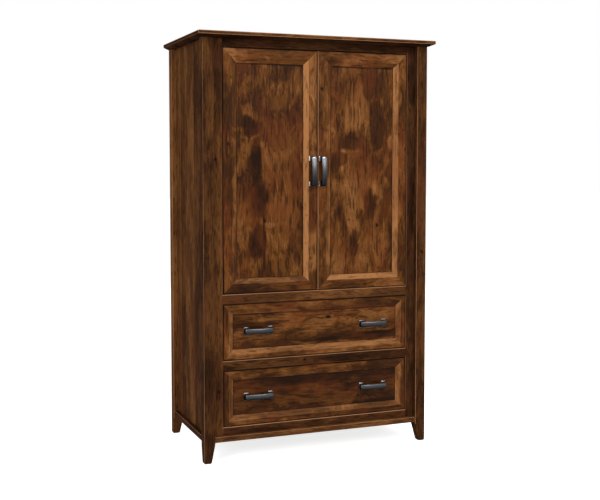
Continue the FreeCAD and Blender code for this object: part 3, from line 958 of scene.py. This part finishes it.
@dataclass
class Case:
    """The case: legs, frame, sides, back, floors, shelf and fixed fittings. Sizes in millimetres."""

    shop: FinishShop
    boards: tuple[CaseBoard, ...] = (
        CaseBoard("top_panel", Axis.X, 0.35, across=Axis.Y, staves=(0.0, -0.2, 0.1, -0.1, 0.15)),
        # The left leg's inner arris gets less painted highlight than its outer one.
        CaseBoard("front_left_leg", Axis.Z, -0.4, ease_mm=3.4, wear_and_highlight=1.0, inner_arris_highlight=0.2),
        CaseBoard("front_right_leg", Axis.Z, -0.25, ease_mm=3.4, wear_and_highlight=1.0),
        CaseBoard("back_left_leg", Axis.Z, 1.05, ease_mm=3.4, wear_and_highlight=1.0),
        CaseBoard("back_right_leg", Axis.Z, -0.1, ease_mm=3.4, wear_and_highlight=1.0),
        # This side is lighter by painted light, for the little lamp light that reaches it.
        CaseBoard("left_side_panel", Axis.Z, 0.25, across=Axis.Y,
                  staves=(-0.1, -0.5, 0.25, 0.1, -0.35, 0.35)),
        CaseBoard("right_side_panel", Axis.Z, -0.1, across=Axis.Y, staves=(0.1, -0.1, 0.0, 0.15, -0.15)),
        # The front moulding is lighter by painted light, where it stands proud.
        CaseBoard("front_base_moulding", Axis.X, 0.6),
        CaseBoard("left_base_moulding", Axis.Y, -0.3),
        CaseBoard("right_base_moulding", Axis.Y, -0.2),
        CaseBoard("left_stile", Axis.Z, 0.05, wear_and_highlight=0.15),
        CaseBoard("right_stile", Axis.Z, -0.8, wear_and_highlight=0.2),
        # The top rail is darker by painted shadow from the top's overhang.
        CaseBoard("top_rail", Axis.X, -0.95, wear_and_highlight=0.3),
        CaseBoard("door_rail", Axis.X, 0.35, wear_and_highlight=0.6),
        CaseBoard("drawer_rail", Axis.X, -0.45, wear_and_highlight=0.6),
        CaseBoard("bottom_rail", Axis.X, -0.3),
        CaseBoard("tv_deck", Axis.X, 0.0, across=Axis.Y, staves=(0.0, 0.1, -0.1, 0.1)),
        CaseBoard("tv_shelf", Axis.X, 0.0, across=Axis.Y, staves=(0.1, -0.1, 0.1, 0.0)),
        CaseBoard("upper_back_panel", Axis.Z, 0.0, BROWN_PLYWOOD),
        CaseBoard("lower_back_panel", Axis.Z, 0.05, BROWN_PLYWOOD),
        CaseBoard("dust_panel", Axis.X, 0.0, BROWN_PLYWOOD),
        CaseBoard("bottom_panel", Axis.X, 0.0, BROWN_PLYWOOD),
    )
    rail_levels: tuple[Span, ...] = ((90.0, 150.0), (679.5, 739.5), (1795.0, 1855.0))
    rail_half: float = 492.0
    rail_depths: Span = (288.5, 306.5)
    block_sides: Span = (448.5, 508.0)
    block_depths: Span = (-223.5, 258.5)
    block_height: float = 70.0
    block_levels: tuple[float, ...] = (276.5, 571.0)

    def build(self) -> None:
        """Builds the boards and gives the fittings their metal and plastic."""
        for board in self.boards:
            board.build(self.shop)
        self._back_rails()
        self._slide_blocks()
        fittings = {"slide_case_members": ZINC_STEEL, "hinge_case_leaves": STAMPED_BRASS,
                    "shelf_pins": NICKEL_STEEL, "door_catches": BROWN_PLASTIC}
        for node, finish in fittings.items():
            self.shop.dress_node(node, finish)

    def _back_rails(self) -> None:
        """Three rails across the back."""
        timber = Timber("back_rail_boards")
        front, back = self.rail_depths
        for bottom, top in self.rail_levels:
            timber.add_box((-self.rail_half * MM, front * MM, bottom * MM),
                           (self.rail_half * MM, back * MM, top * MM), Board(Axis.X, -0.1))
        timber.piece(self.shop, BROWN_PLYWOOD, "case", "back_rails")

    def _slide_blocks(self) -> None:
        """Four blocks that bring the slides out to the opening."""
        timber = Timber("slide_block_boards")
        front, back = self.block_depths
        half = self.block_height / 2
        for level in self.block_levels:
            for side in Side:
                left, right = sorted(side.value * x for x in self.block_sides)
                timber.add_box((left * MM, front * MM, (level - half) * MM),
                               (right * MM, back * MM, (level + half) * MM), Board(Axis.Y))
        timber.piece(self.shop, PALE_MAPLE, "case", "slide_blocks")


@dataclass
class BowPull:
    """A cast bow pull: flared feet, a crowned bar that bows out, rounded arrises. Sizes in millimetres.

    Top highlight says how much pale colour is painted towards the top of an upright or a level pull, as
    painted highlight; rim highlight how much on the spread rim of a foot, and arris highlight how much on
    the outer arrises towards the top, both painted highlight too.
    """

    half_length: float = 70.0
    foot_length: float = 24.0
    foot_half_width: float = 18.0
    bar_half_width: float = 11.5
    shoulder: float = 23.0
    crest: float = 32.0
    thickness: float = 8.0
    lean: float = 3.0
    flare: float = 5.0
    outer_round: float = 3.4
    inner_round: float = 1.6
    crown: float = 2.2
    most_round: float = 0.4
    foot_heights: tuple[float, ...] = (0.0, 0.8, 1.8, 3.2, 5.0, 7.5, 10.5, 12.5)
    knee_steps: tuple[tuple[Span, Span, float], ...] = (
        ((-0.8, -6.0), (-0.2, -0.6), 0.3), ((0.5, -2.2), (0.3, 0.1), 0.0), ((3.4, 0.2), (1.2, 0.5), 0.0))
    bar_shares: tuple[float, ...] = (0.86, 0.74, 0.58, 0.4, 0.2, 0.0)
    inner_gain: float = 1.05
    inner_most: float = 0.93
    upright_top_highlight: float = 0.6
    level_top_highlight: float = 0.42
    arris_highlight: float = 0.1
    arris_from: float = 0.55
    rim_highlight: float = 0.8
    rim_height: float = 8.0

    def _bow(self, place: float, top: float, half: float) -> float:
        """Height of a shallow arc.

        Args:
            place: distance from the middle.
            top: height in the middle.
            half: distance from the middle to where the arc has fallen by the bow's rise.

        Returns:
            The height at that distance.
        """
        rise = self.crest - self.shoulder
        radius = (half ** 2 + rise ** 2) / (2 * rise)
        return top - radius + math.sqrt(radius ** 2 - place ** 2)

    def _stations(self) -> list[tuple[Span, Span, float]]:
        """The sections from one foot to the middle: up the foot, round the knee and along the bar.

        Returns:
            Outer point, inner point and half width of each section.
        """
        inner_half = self.half_length - self.foot_length
        hollow = self.shoulder - self.thickness
        slim = self.bar_half_width
        found = []
        for height in self.foot_heights:
            width = slim + (self.foot_half_width - slim) * math.exp(-height / self.flare)
            found.append(((-self.half_length + self.lean * height / self.shoulder, height),
                          (-inner_half + self.lean * height / hollow, height), width))
        knee = inner_half - self.lean
        end = self.half_length - self.lean
        for outer, inner, wider in self.knee_steps:
            found.append(((-end + outer[0], self.shoulder + outer[1]),
                          (-knee + inner[0], hollow + inner[1]), slim + wider))
        for share in self.bar_shares:
            outer, inner = -end * share, -knee * min(share * self.inner_gain, self.inner_most)
            found.append(((outer, self._bow(outer, self.crest, end)),
                          (inner, self._bow(inner, self.crest - self.thickness, knee)), slim))
        return found

    def _section(self, thick: float, half: float) -> list[Span]:
        """A rounded section as (across, outward) pairs.

        Args:
            thick: from the inner to the outer face.
            half: half of the width.

        Returns:
            The points, in order round the section.
        """
        out, low = min(self.outer_round, thick * self.most_round), self.inner_round
        points = []
        for centre, radius, start, count in (
                ((half - low, low), low, -90, 3), ((half - out, thick - out - self.crown), out, 0, 4),
                ((0.0, thick), 0.0, 90, 1), ((-half + out, thick - out - self.crown), out, 90, 4),
                ((-half + low, low), low, 180, 3)):
            for index in range(count):
                angle = math.radians(start + 90 * index / max(count - 1, 1))
                points.append((centre[0] + radius * math.cos(angle), centre[1] + radius * math.sin(angle)))
        return points

    def _highlight_share(self, height: float, out_share: float, side_share: float, upper: float) -> float:
        """How much painted highlight, in the pale bare colour, a point of a section gets.

        Args:
            height: the section's outer height over the surface.
            out_share: the point's place from the inner to the outer face, up to 1.
            side_share: its place from the middle of the width to the edge, up to 1.
            upper: how far up the pull the point lies, times the painted highlight at the top.

        Returns:
            A share, more towards the top and on the outer arrises, and most on the spread rim of a foot.
        """
        rim = max(0.0, 1 - height / self.rim_height)
        arris = max(0.0, side_share - self.arris_from) / (1 - self.arris_from)
        if out_share <= self.arris_from:
            arris = 0.0
        return min(self.arris_highlight * arris * upper + upper ** 2 + self.rim_highlight * rim, 1.0)

    def add_to(self, target: bmesh.types.BMesh, foot: Vector, along: Vector, across: Vector) -> None:
        """Adds one pull to a mesh.

        Args:
            target: the mesh, with an edge layer on its points.
            foot: the middle of the pull on the surface that carries it, in metres.
            along: direction of the bar.
            across: direction over its width.
        """
        reach = abs(along.z) * self.half_length + abs(across.z) * self.bar_half_width
        top_highlight = self.upright_top_highlight if abs(along.z) > 0.5 else self.level_top_highlight
        half = self._stations()
        mirrored = [((-outer[0], outer[1]), (-inner[0], inner[1]), width)
                    for outer, inner, width in reversed(half[:-1])]
        outlines, highlights = [], []
        for outer, inner, width in half + mirrored:
            run = (outer[0] - inner[0], outer[1] - inner[1])
            thick = math.hypot(*run)
            ring = []
            for side, out in self._section(thick, width):
                place, height = [inner[axis] + run[axis] * out / thick for axis in (0, 1)]
                ring.append(foot + (along * place - BACKWARD * max(height, 0.0) + across * side) * MM)
                # Painted highlight, more towards the top of the pull.
                level = 0.5 + (along.z * place + across.z * side) / (2 * reach)
                upper = top_highlight * min(max(level, 0.0), 1.0)
                highlights.append(self._highlight_share(outer[1], out / thick, abs(side) / width, upper))
            outlines.append(ring)
        start = len(target.verts)
        for face in skinned(target, outlines):
            face.smooth = len(face.verts) == 4
        layer = target.verts.layers.float["edge"]
        target.verts.ensure_lookup_table()
        for index, share in enumerate(highlights):
            target.verts[start + index][layer] = share

    def piece(self, shop: FinishShop, name: str, body: str, node: str, feet: Sequence[Vector],
              along: Vector, across: Vector) -> None:
        """Builds the pulls of one body as one piece.

        Args:
            shop: the materials.
            name: the piece's name.
            body: the body it moves with.
            node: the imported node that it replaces.
            feet: the middle of each pull on its surface.
            along: direction of the bars.
            across: direction over their width.
        """
        target = bmesh.new()
        target.verts.layers.float.new("edge")
        for foot in feet:
            self.add_to(target, foot, along, across)
        mesh = bpy.data.meshes.new(name)
        target.to_mesh(mesh)
        target.free()
        piece = shown(name, mesh)
        shop.dress(piece, ANTIQUE_PEWTER)
        seated(piece, body, (node,))


@dataclass(kw_only=True)
class Front:
    """What doors and drawers share: a bevelled frame and a panel in its groove. Sizes in millimetres.

    Darkenings are in tones: painted shade on the frame's edges in the gaps, a painted shade line at its
    outer border by the gap, and on the panel painted shadow of the frame, with gathered stain, along the
    lines beside the frame.
    """

    shop: FinishShop
    pull: BowPull
    staves: tuple[float, ...]
    wear_and_highlight: float
    ease_mm: float = 0.8
    painted_gap_shade: float = 1.6
    gap_shade_line: float = 3.0
    gap_shade_depth: float = 2.6
    groove: float = 8.0
    side_shadow_line: float = 2.0
    top_shadow_line: float = 4.5
    panel_stain: float = 1.3

    @property
    def body(self) -> str:
        """Name of the front's body."""
        raise NotImplementedError

    def _shade_gap_border(self, timber: Timber, low: Vector, high: Vector) -> None:
        """Paints a shade line along the gap, in what a frame member has of the whole front's border.

        Args:
            timber: the frame or one of its members.
            low: the front's lowest corner in metres.
            high: its highest corner.
        """
        line = Vector((self.gap_shade_line, 0.0, self.gap_shade_line)) * MM
        timber.darken_border(low + line, high - line, self.gap_shade_depth)

    def _panel(self, node: str, grain: Axis, across: Axis) -> tuple[Vector, Vector]:
        """Builds the panel from staves.

        Args:
            node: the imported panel.
            grain: how its grain runs.
            across: the axis that its staves lie along, side by side.

        Returns:
            The panel's lowest and highest corner.
        """
        panel = Timber(node + "_board", self.ease_mm)
        panel.add_node(node, Board(grain))
        panel.saw(across, self.staves)
        low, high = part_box(node)
        # Painted shadow of the frame on the panel, wider along the top, with stain gathered there.
        side = self.groove + self.side_shadow_line
        panel.darken_border(low + Vector((side, 0.0, self.groove)) * MM,
                            high - Vector((side, 0.0, self.groove + self.top_shadow_line)) * MM, self.panel_stain)
        panel.piece(self.shop, FRONT_CHERRY, self.body, node)
        return low, high


@dataclass(kw_only=True)
class Door(Front):
    """One framed door with its panel, pull and hinge fittings."""

    side: Side
    members: Mapping[str, Board]
    meeting_arris_highlight: Optional[float] = None
    wear_and_highlight: float = 0.15
    pull_from_middle: float = 24.25
    pull_level: float = 1280.0

    @property
    def body(self) -> str:
        """Name of the door's body."""
        return self.side.word + "_door"

    def build(self) -> None:
        """Builds the frame, the panel and the pull, and dresses the fittings."""
        stiles = [f"{self.body}_{stile}_stile" for stile in ("hinge", "meeting")]
        corners = [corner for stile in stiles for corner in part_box(stile)]
        low, high = (Vector([choose(corner[axis.value] for corner in corners) for axis in Axis])
                     for choose in (min, max))
        for member, board in self.members.items():
            node = f"{self.body}_{member}"
            timber = Timber(node + "_board", self.ease_mm, self.wear_and_highlight, self.painted_gap_shade, self.meeting_arris_highlight)
            timber.add_node(node, board)
            self._shade_gap_border(timber, low, high)
            timber.piece(self.shop, FRONT_CHERRY, self.body, node)
        self._panel(self.body + "_panel", Axis.Z, Axis.X)
        foot = Vector((self.side.value * self.pull_from_middle, FRONT, self.pull_level)) * MM
        self.pull.piece(self.shop, self.body + "_bow_pull", self.body, self.body + "_pull", [foot],
                        UPWARD, RIGHTWARD)
        self.shop.dress_node(self.body + "_hinge_leaves", STAMPED_BRASS)
        self.shop.dress_node(self.body + "_strike", NICKEL_STEEL)


@dataclass(kw_only=True)
class Drawer(Front):
    """One drawer: mitred front frame, panel, pulls, box, bottom and slide members."""

    place: Place
    frame_tones: tuple[float, float, float, float]
    wear_and_highlight: float = 0.12
    painted_bevel_light: float = 0.7
    flat: float = 22.5
    bevel_width: float = 23.0
    bevel_depth: float = 10.0
    recess: float = 12.0
    panel_thickness: float = 6.0
    thickness: float = 22.0
    chamfer: float = 2.0
    pull_from_middle: float = 281.426
    box_board: float = 14.0

    @property
    def body(self) -> str:
        """Name of the drawer's body."""
        return self.place.value + "_drawer"

    def _profile(self) -> list[Span]:
        """Section of the front's frame.

        Returns:
            Pairs of the distance from the outer edge and the depth from the face.
        """
        width = self.flat + self.bevel_width
        panel_back = self.recess + self.panel_thickness
        groove_floor = width - self.groove
        return [(0.0, self.chamfer), (self.chamfer, 0.0), (self.flat, 0.0), (width, self.bevel_depth),
                (width, self.recess), (groove_floor, self.recess), (groove_floor, panel_back),
                (width, panel_back), (width, self.thickness), (0.0, self.thickness)]

    def _front_frame(self) -> None:
        """Four mitred members round the front panel: bottom, top, left, right."""
        node = self.body + "_front_frame"
        low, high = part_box(node)
        timber = Timber(node + "_boards", self.ease_mm, self.wear_and_highlight, self.painted_gap_shade)
        corners = [((low.x, low.z), (high.x, low.z)), ((high.x, high.z), (low.x, high.z)),
                   ((low.x, high.z), (low.x, low.z)), ((high.x, low.z), (high.x, high.z))]
        for (start, end), tone in zip(corners, self.frame_tones):
            # The top member's bevel looks down and gets no painted highlight; the others get it.
            lift = 0.0 if start[1] == end[1] == high.z else self.painted_bevel_light
            run = (Vector(end) - Vector(start)).normalized()
            inward = Vector((-run.y, run.x))
            ends = []
            for corner, way in ((Vector(start), 1), (Vector(end), -1)):
                mitre = inward + run * way
                spots = [(corner + mitre * (inset * MM), depth) for inset, depth in self._profile()]
                ends.append([Vector((spot.x, low.y + depth * MM, spot.y)) for spot, depth in spots])
            timber.add_skin(ends, Board(Axis.X if abs(run.x) > 0.5 else Axis.Z, tone, lift))
        self._shade_gap_border(timber, low, high)
        timber.piece(self.shop, FRONT_CHERRY, self.body, node)

    def _box(self) -> None:
        """Sides, inner front and back of the drawer box, and its bottom."""
        node = self.body + "_box"
        low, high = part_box(node)
        board = self.box_board * MM
        left, right = low.x + board, high.x - board
        timber = Timber(node + "_boards")
        timber.add_box(low, (left, high.y, high.z), Board(Axis.Y))
        timber.add_box((right, low.y, low.z), high, Board(Axis.Y, 0.1))
        timber.add_box((left, low.y, low.z), (right, low.y + board, high.z), Board(Axis.X, -0.1))
        timber.add_box((left, high.y - board, low.z), (right, high.y, high.z), Board(Axis.X))
        timber.piece(self.shop, PALE_MAPLE, self.body, node)
        bottom = Timber(self.body + "_bottom_board")
        bottom.add_node(self.body + "_bottom", Board(Axis.X, 0.1))
        bottom.piece(self.shop, PALE_MAPLE, self.body, self.body + "_bottom")

    def build(self) -> None:
        """Builds the front, the box and the pulls, and dresses the slide members."""
        self._front_frame()
        low, high = self._panel(self.body + "_front_panel", Axis.X, Axis.Z)
        self._box()
        level = (low.z + high.z) / 2
        feet = [Vector((side.value * self.pull_from_middle * MM, low.y, level)) for side in Side]
        self.pull.piece(self.shop, self.body + "_bow_pulls", self.body, self.body + "_pulls", feet,
                        RIGHTWARD, UPWARD)
        self.shop.dress_node(self.body + "_slide_members", ZINC_STEEL)
        self.shop.dress_node(self.place.value + "_slide_middle_members", ZINC_STEEL)


@dataclass
class Screws:
    """Low-headed cross-recess screws, set by a geometry tree. Sizes and places in millimetres."""

    shop: FinishShop
    head_radius: float = 3.6
    head_height: float = 0.9
    slot_width: float = 0.9
    crown_share: float = 0.72
    slot_share: float = 1.1
    seed: int = 7
    back_face: float = 306.5
    back_levels: tuple[float, ...] = (111.5, 730.5)
    back_columns: tuple[float, ...] = (-430.0, -215.0, 0.0, 215.0, 430.0)
    catch_face: float = -217.5
    catch_level: float = 1827.5
    catch_columns: Span = (40.0, 60.0)
    hinge_line: float = -243.5
    hinge_columns: Span = (414.0, 399.0)
    case_leaf_levels: Span = (1820.5, 739.5)
    door_leaf_levels: Span = (1818.0, 742.0)
    stile_back: float = -229.5
    pull_half_span: float = 58.0
    drawer_back: float = -215.5
    drawer_pull_from_middle: float = 281.4
    drawer_levels: tuple[tuple[Place, float], ...] = ((Place.UPPER, 571.0), (Place.LOWER, 276.5))

    @property
    def sizes(self) -> dict[str, float]:
        """The geometry tree's inputs with their sizes."""
        return {"Head Radius": self.head_radius, "Head Height": self.head_height,
                "Slot Width": self.slot_width}

    def tree(self, finish: Finish) -> tuple[Tree, dict[str, str]]:
        """Builds the tree that puts a screw head on every point.

        Args:
            finish: the screws' metal.

        Returns:
            The tree, and the identifier of each named input.
        """
        tree = bpy.data.node_groups.new("screw_heads", "GeometryNodeTree")
        sockets = tree.interface
        sockets.new_socket("Geometry", in_out="INPUT", socket_type="NodeSocketGeometry")
        named = {name: sockets.new_socket(name, in_out="INPUT", socket_type="NodeSocketFloat").identifier
                 for name in self.sizes}
        sockets.new_socket("Geometry", in_out="OUTPUT", socket_type="NodeSocketGeometry")
        given = add(tree, "NodeGroupInput").outputs
        radius, height, slot = [given[name] for name in self.sizes]
        crown, length = [add(tree, "ShaderNodeMath", (radius, share), operation="MULTIPLY")
                         for share in (self.crown_share, self.slot_share)]
        head = add(tree, "GeometryNodeMeshCone", {
            "Vertices": 18, "Radius Top": crown, "Radius Bottom": radius, "Depth": height})
        cut = add(tree, "GeometryNodeMeshBoolean", {"Mesh 1": head}, operation="DIFFERENCE")
        raised = add(tree, "ShaderNodeCombineXYZ", {2: height})
        for sides in ((length, slot), (slot, length)):
            size = add(tree, "ShaderNodeCombineXYZ", (*sides, height))
            bar = add(tree, "GeometryNodeMeshCube", {"Size": size})
            moved = add(tree, "GeometryNodeTransform", {"Geometry": bar, "Translation": raised})
            tree.links.new(moved.outputs[0], cut.inputs["Mesh 2"])
        facing = add(tree, "GeometryNodeInputNamedAttribute", {"Name": "facing"}, data_type="FLOAT_VECTOR")
        aligned = add(tree, "FunctionNodeAlignRotationToVector", {"Vector": facing.outputs["Attribute"]},
                      axis="Z")
        chance = add(tree, "FunctionNodeRandomValue", {
            0: (0.0, 0.0, 0.0), 1: (0.0, 0.0, math.pi), "Seed": self.seed}, data_type="FLOAT_VECTOR")
        spun = add(tree, "FunctionNodeRotateRotation", {"Rotation": aligned, "Rotate By": chance},
                   rotation_space="LOCAL")
        placed = add(tree, "GeometryNodeInstanceOnPoints", {
            "Points": given["Geometry"], "Instance": cut, "Rotation": spun})
        real = add(tree, "GeometryNodeRealizeInstances", {"Geometry": placed})
        dressed = add(tree, "GeometryNodeSetMaterial", {
            "Geometry": real, "Material": self.shop.material(finish)})
        add(tree, "NodeGroupOutput", (dressed,))
        return tree, named

    def drive(self, body: str, finish: Finish, places: Sequence[tuple[Point, Vector]]) -> None:
        """Sets the screws of one body.

        Args:
            body: the body they move with.
            finish: their metal.
            places: the middle of each head on its surface, in millimetres, and the way it faces.
        """
        tree, named = self.tree(finish)
        points = bpy.data.meshes.new(body + "_screws")
        points.from_pydata([Vector(spot) * MM for spot, _ in places], [], [])
        ways = points.attributes.new("facing", "FLOAT_VECTOR", "POINT")
        ways.data.foreach_set("vector", [value for _, way in places for value in way])
        piece = shown(body + "_screws", points)
        setting = piece.modifiers.new("screw_heads", "NODES")
        setting.node_group = tree
        for name, size in self.sizes.items():
            setting[named[name]] = size * MM
        settled(piece)
        self.shop.dress(piece, finish)
        seated(piece, body, ())

    def _hinge(self, side: Side, levels: Span, upper: Vector) -> list[tuple[Point, Vector]]:
        """Places of the screws in a door's upper and lower hinge leaf.

        Args:
            side: the door's side.
            levels: where the faces of the two leaves lie.
            upper: the way the upper leaf faces. The lower one faces the other way.

        Returns:
            Spots and the ways they face.
        """
        return [((side.value * x, self.hinge_line, z), way) for x in self.hinge_columns
                for z, way in zip(levels, (upper, -upper))]

    def build(self) -> None:
        """Sets the screws of the back, the catches, the hinges and the pulls."""
        case = [((x, self.back_face, z), BACKWARD) for z in self.back_levels for x in self.back_columns]
        case += [((side.value * x, self.catch_face, self.catch_level), BACKWARD)
                 for side in Side for x in self.catch_columns]
        for side in Side:
            case += self._hinge(side, self.case_leaf_levels, -UPWARD)
        self.drive("case", STAMPED_BRASS, case)
        for side in Side:
            door = self._hinge(side, self.door_leaf_levels, UPWARD)
            door += [((side.value * Door.pull_from_middle, self.stile_back, Door.pull_level + z), BACKWARD)
                     for z in (-self.pull_half_span, self.pull_half_span)]
            self.drive(side.word + "_door", STAMPED_BRASS, door)
        for place, level in self.drawer_levels:
            inside = [((side.value * self.drawer_pull_from_middle + x, self.drawer_back, level), BACKWARD)
                      for side in Side for x in (-self.pull_half_span, self.pull_half_span)]
            self.drive(place.value + "_drawer", ZINC_STEEL, inside)


@dataclass(frozen=True)
class Softbox:
    """An area lamp: where it hangs, the point it faces, its width and height, and its power in watts."""

    name: str
    spot: Point
    target: Point
    size: Span
    power: float

    def build(self) -> None:
        """Hangs the lamp."""
        data = bpy.data.lights.new(self.name, "AREA")
        data.shape = "RECTANGLE"
        data.size, data.size_y = self.size
        data.energy = self.power
        lamp = bpy.data.objects.new(self.name, data)
        lamp.location = self.spot
        lamp.rotation_euler = (Vector(self.target) - Vector(self.spot)).to_track_quat("-Z", "Y").to_euler()
        bpy.context.scene.collection.objects.link(lamp)


@dataclass
class Studio:
    """Pale floor, soft lamps and the camera. Sizes in metres."""

    floor_half: float = 30.0
    floor_level: float = -0.0005
    floor_colour: str = "#f4f3f1"
    floor_white: float = 0.78
    ambient: float = 0.42
    lamps: tuple[Softbox, ...] = (
        Softbox("front_softbox", (1.2, -4.1, 2.3), (0.0, 0.0, 1.0), (1.6, 1.2), 32.0),
        Softbox("overhead_softbox", (0.9, -2.9, 4.4), (0.0, -0.25, 0.9), (2.6, 1.6), 130.0),
        Softbox("left_softbox", (-3.7, -2.9, 2.5), (0.0, 0.0, 1.0), (1.8, 2.2), 125.0),
        Softbox("rear_softbox", (2.2, 4.6, 2.8), (0.0, 0.3, 1.0), (2.4, 2.4), 120.0),
    )
    eye: Point = (-1.7406, -4.4657, 1.3255)
    yaw: float = 0.3742
    pitch: float = -0.0613
    focal_mm: float = 60.593
    sensor_mm: float = 36.0
    shift: float = -0.045

    def build(self) -> None:
        """Builds the floor, the world, the lamps and the camera."""
        self._floor()
        self._world()
        for lamp in self.lamps:
            lamp.build()
        self._camera()

    def _seen(self, tree: Tree) -> Feed:
        """Tells what the eye sees directly, in metal or through glass, from what only lights.

        Args:
            tree: the node tree of the floor or the world.

        Returns:
            A value of 1 for what is seen and 0 for what only lights.
        """
        path = add(tree, "ShaderNodeLightPath").outputs
        seen = path["Is Camera Ray"]
        for ray in ("Is Glossy Ray", "Is Transmission Ray"):
            seen = add(tree, "ShaderNodeMath", (seen, path[ray]), operation="MAXIMUM")
        return seen

    def _floor(self) -> None:
        """A pale floor that shows white to the eye and keeps a soft shadow."""
        made = bpy.data.materials.new("pale_studio_floor")
        tree = blank_tree(made)
        matt = add(tree, "ShaderNodeBsdfDiffuse", {"Color": linear(self.floor_colour)})
        strength = add(tree, "ShaderNodeMath", (self._seen(tree), self.floor_white), operation="MULTIPLY")
        white = add(tree, "ShaderNodeEmission", {"Color": (1, 1, 1, 1), "Strength": strength})
        add(tree, "ShaderNodeOutputMaterial", {"Surface": add(tree, "ShaderNodeAddShader", (matt, white))})
        mesh = bpy.data.meshes.new("studio_floor")
        half, level = self.floor_half, self.floor_level
        corners = [(-half, -half, level), (half, -half, level), (half, half, level), (-half, half, level)]
        mesh.from_pydata(corners, [], [(0, 1, 2, 3)])
        mesh.materials.append(made)
        shown("studio_floor", mesh)

    def _world(self) -> None:
        """White to the eye, dimmer as a light."""
        world = bpy.data.worlds.new("white_studio")
        bpy.context.scene.world = world
        tree = blank_tree(world)
        strength = add(tree, "ShaderNodeMapRange", (self._seen(tree), 0.0, 1.0, self.ambient, 1.0))
        light = add(tree, "ShaderNodeBackground", {"Color": (1, 1, 1, 1), "Strength": strength})
        add(tree, "ShaderNodeOutputWorld", {"Surface": light})

    def _camera(self) -> None:
        """The camera at the photograph's viewing angle."""
        data = bpy.data.cameras.new("front_left_view")
        data.sensor_fit = "HORIZONTAL"
        data.sensor_width = self.sensor_mm
        data.lens = self.focal_mm
        data.shift_y = self.shift
        camera = bpy.data.objects.new("front_left_view", data)
        camera.location = self.eye
        camera.rotation_euler = (math.pi / 2 + self.pitch, 0.0, -self.yaw)
        bpy.context.scene.collection.objects.link(camera)
        bpy.context.scene.camera = camera


def main() -> None:
    """Builds the studio, then the armoire's pieces in order."""
    logging.basicConfig(level=logging.INFO, format="%(name)s: %(message)s")
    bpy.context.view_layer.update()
    bpy.context.scene.view_settings.view_transform = "Standard"
    Studio().build()
    shop = FinishShop(FINISHES)
    pull = BowPull()
    Case(shop).build()
    # A member's third number is the painted highlight on its bevels, in tones.
    left_members = {"hinge_stile": Board(Axis.Z, -0.4, 0.35), "meeting_stile": Board(Axis.Z, 0.2, 1.95),
                    "top_rail": Board(Axis.X, 0.65), "bottom_rail": Board(Axis.X, -0.8, 0.6)}
    right_members = {"hinge_stile": Board(Axis.Z, 0.0, 1.3), "meeting_stile": Board(Axis.Z, 0.0, 0.4),
                     "top_rail": Board(Axis.X, 0.25), "bottom_rail": Board(Axis.X, 0.1, 1.9)}
    # The left door's painted shade line along the gap is wider.
    Door(shop=shop, pull=pull, side=Side.LEFT, members=left_members,
         staves=(-0.4, -0.5, -0.35, -0.4, -0.35), gap_shade_line=4.5).build()
    # The right door's arrises by the meeting gap get more painted highlight.
    Door(shop=shop, pull=pull, side=Side.RIGHT, members=right_members,
         staves=(0.0, 0.0, -0.1, -0.05, 0.0), meeting_arris_highlight=0.6).build()
    Drawer(shop=shop, pull=pull, place=Place.UPPER, frame_tones=(0.2, -0.1, 0.1, 0.2),
           staves=(-0.1, -0.05)).build()
    Drawer(shop=shop, pull=pull, place=Place.LOWER, frame_tones=(-0.15, -0.3, -0.1, -0.1),
           staves=(-0.95, -0.95)).build()
    Screws(shop).build()


if __name__ == "__main__":
    main()
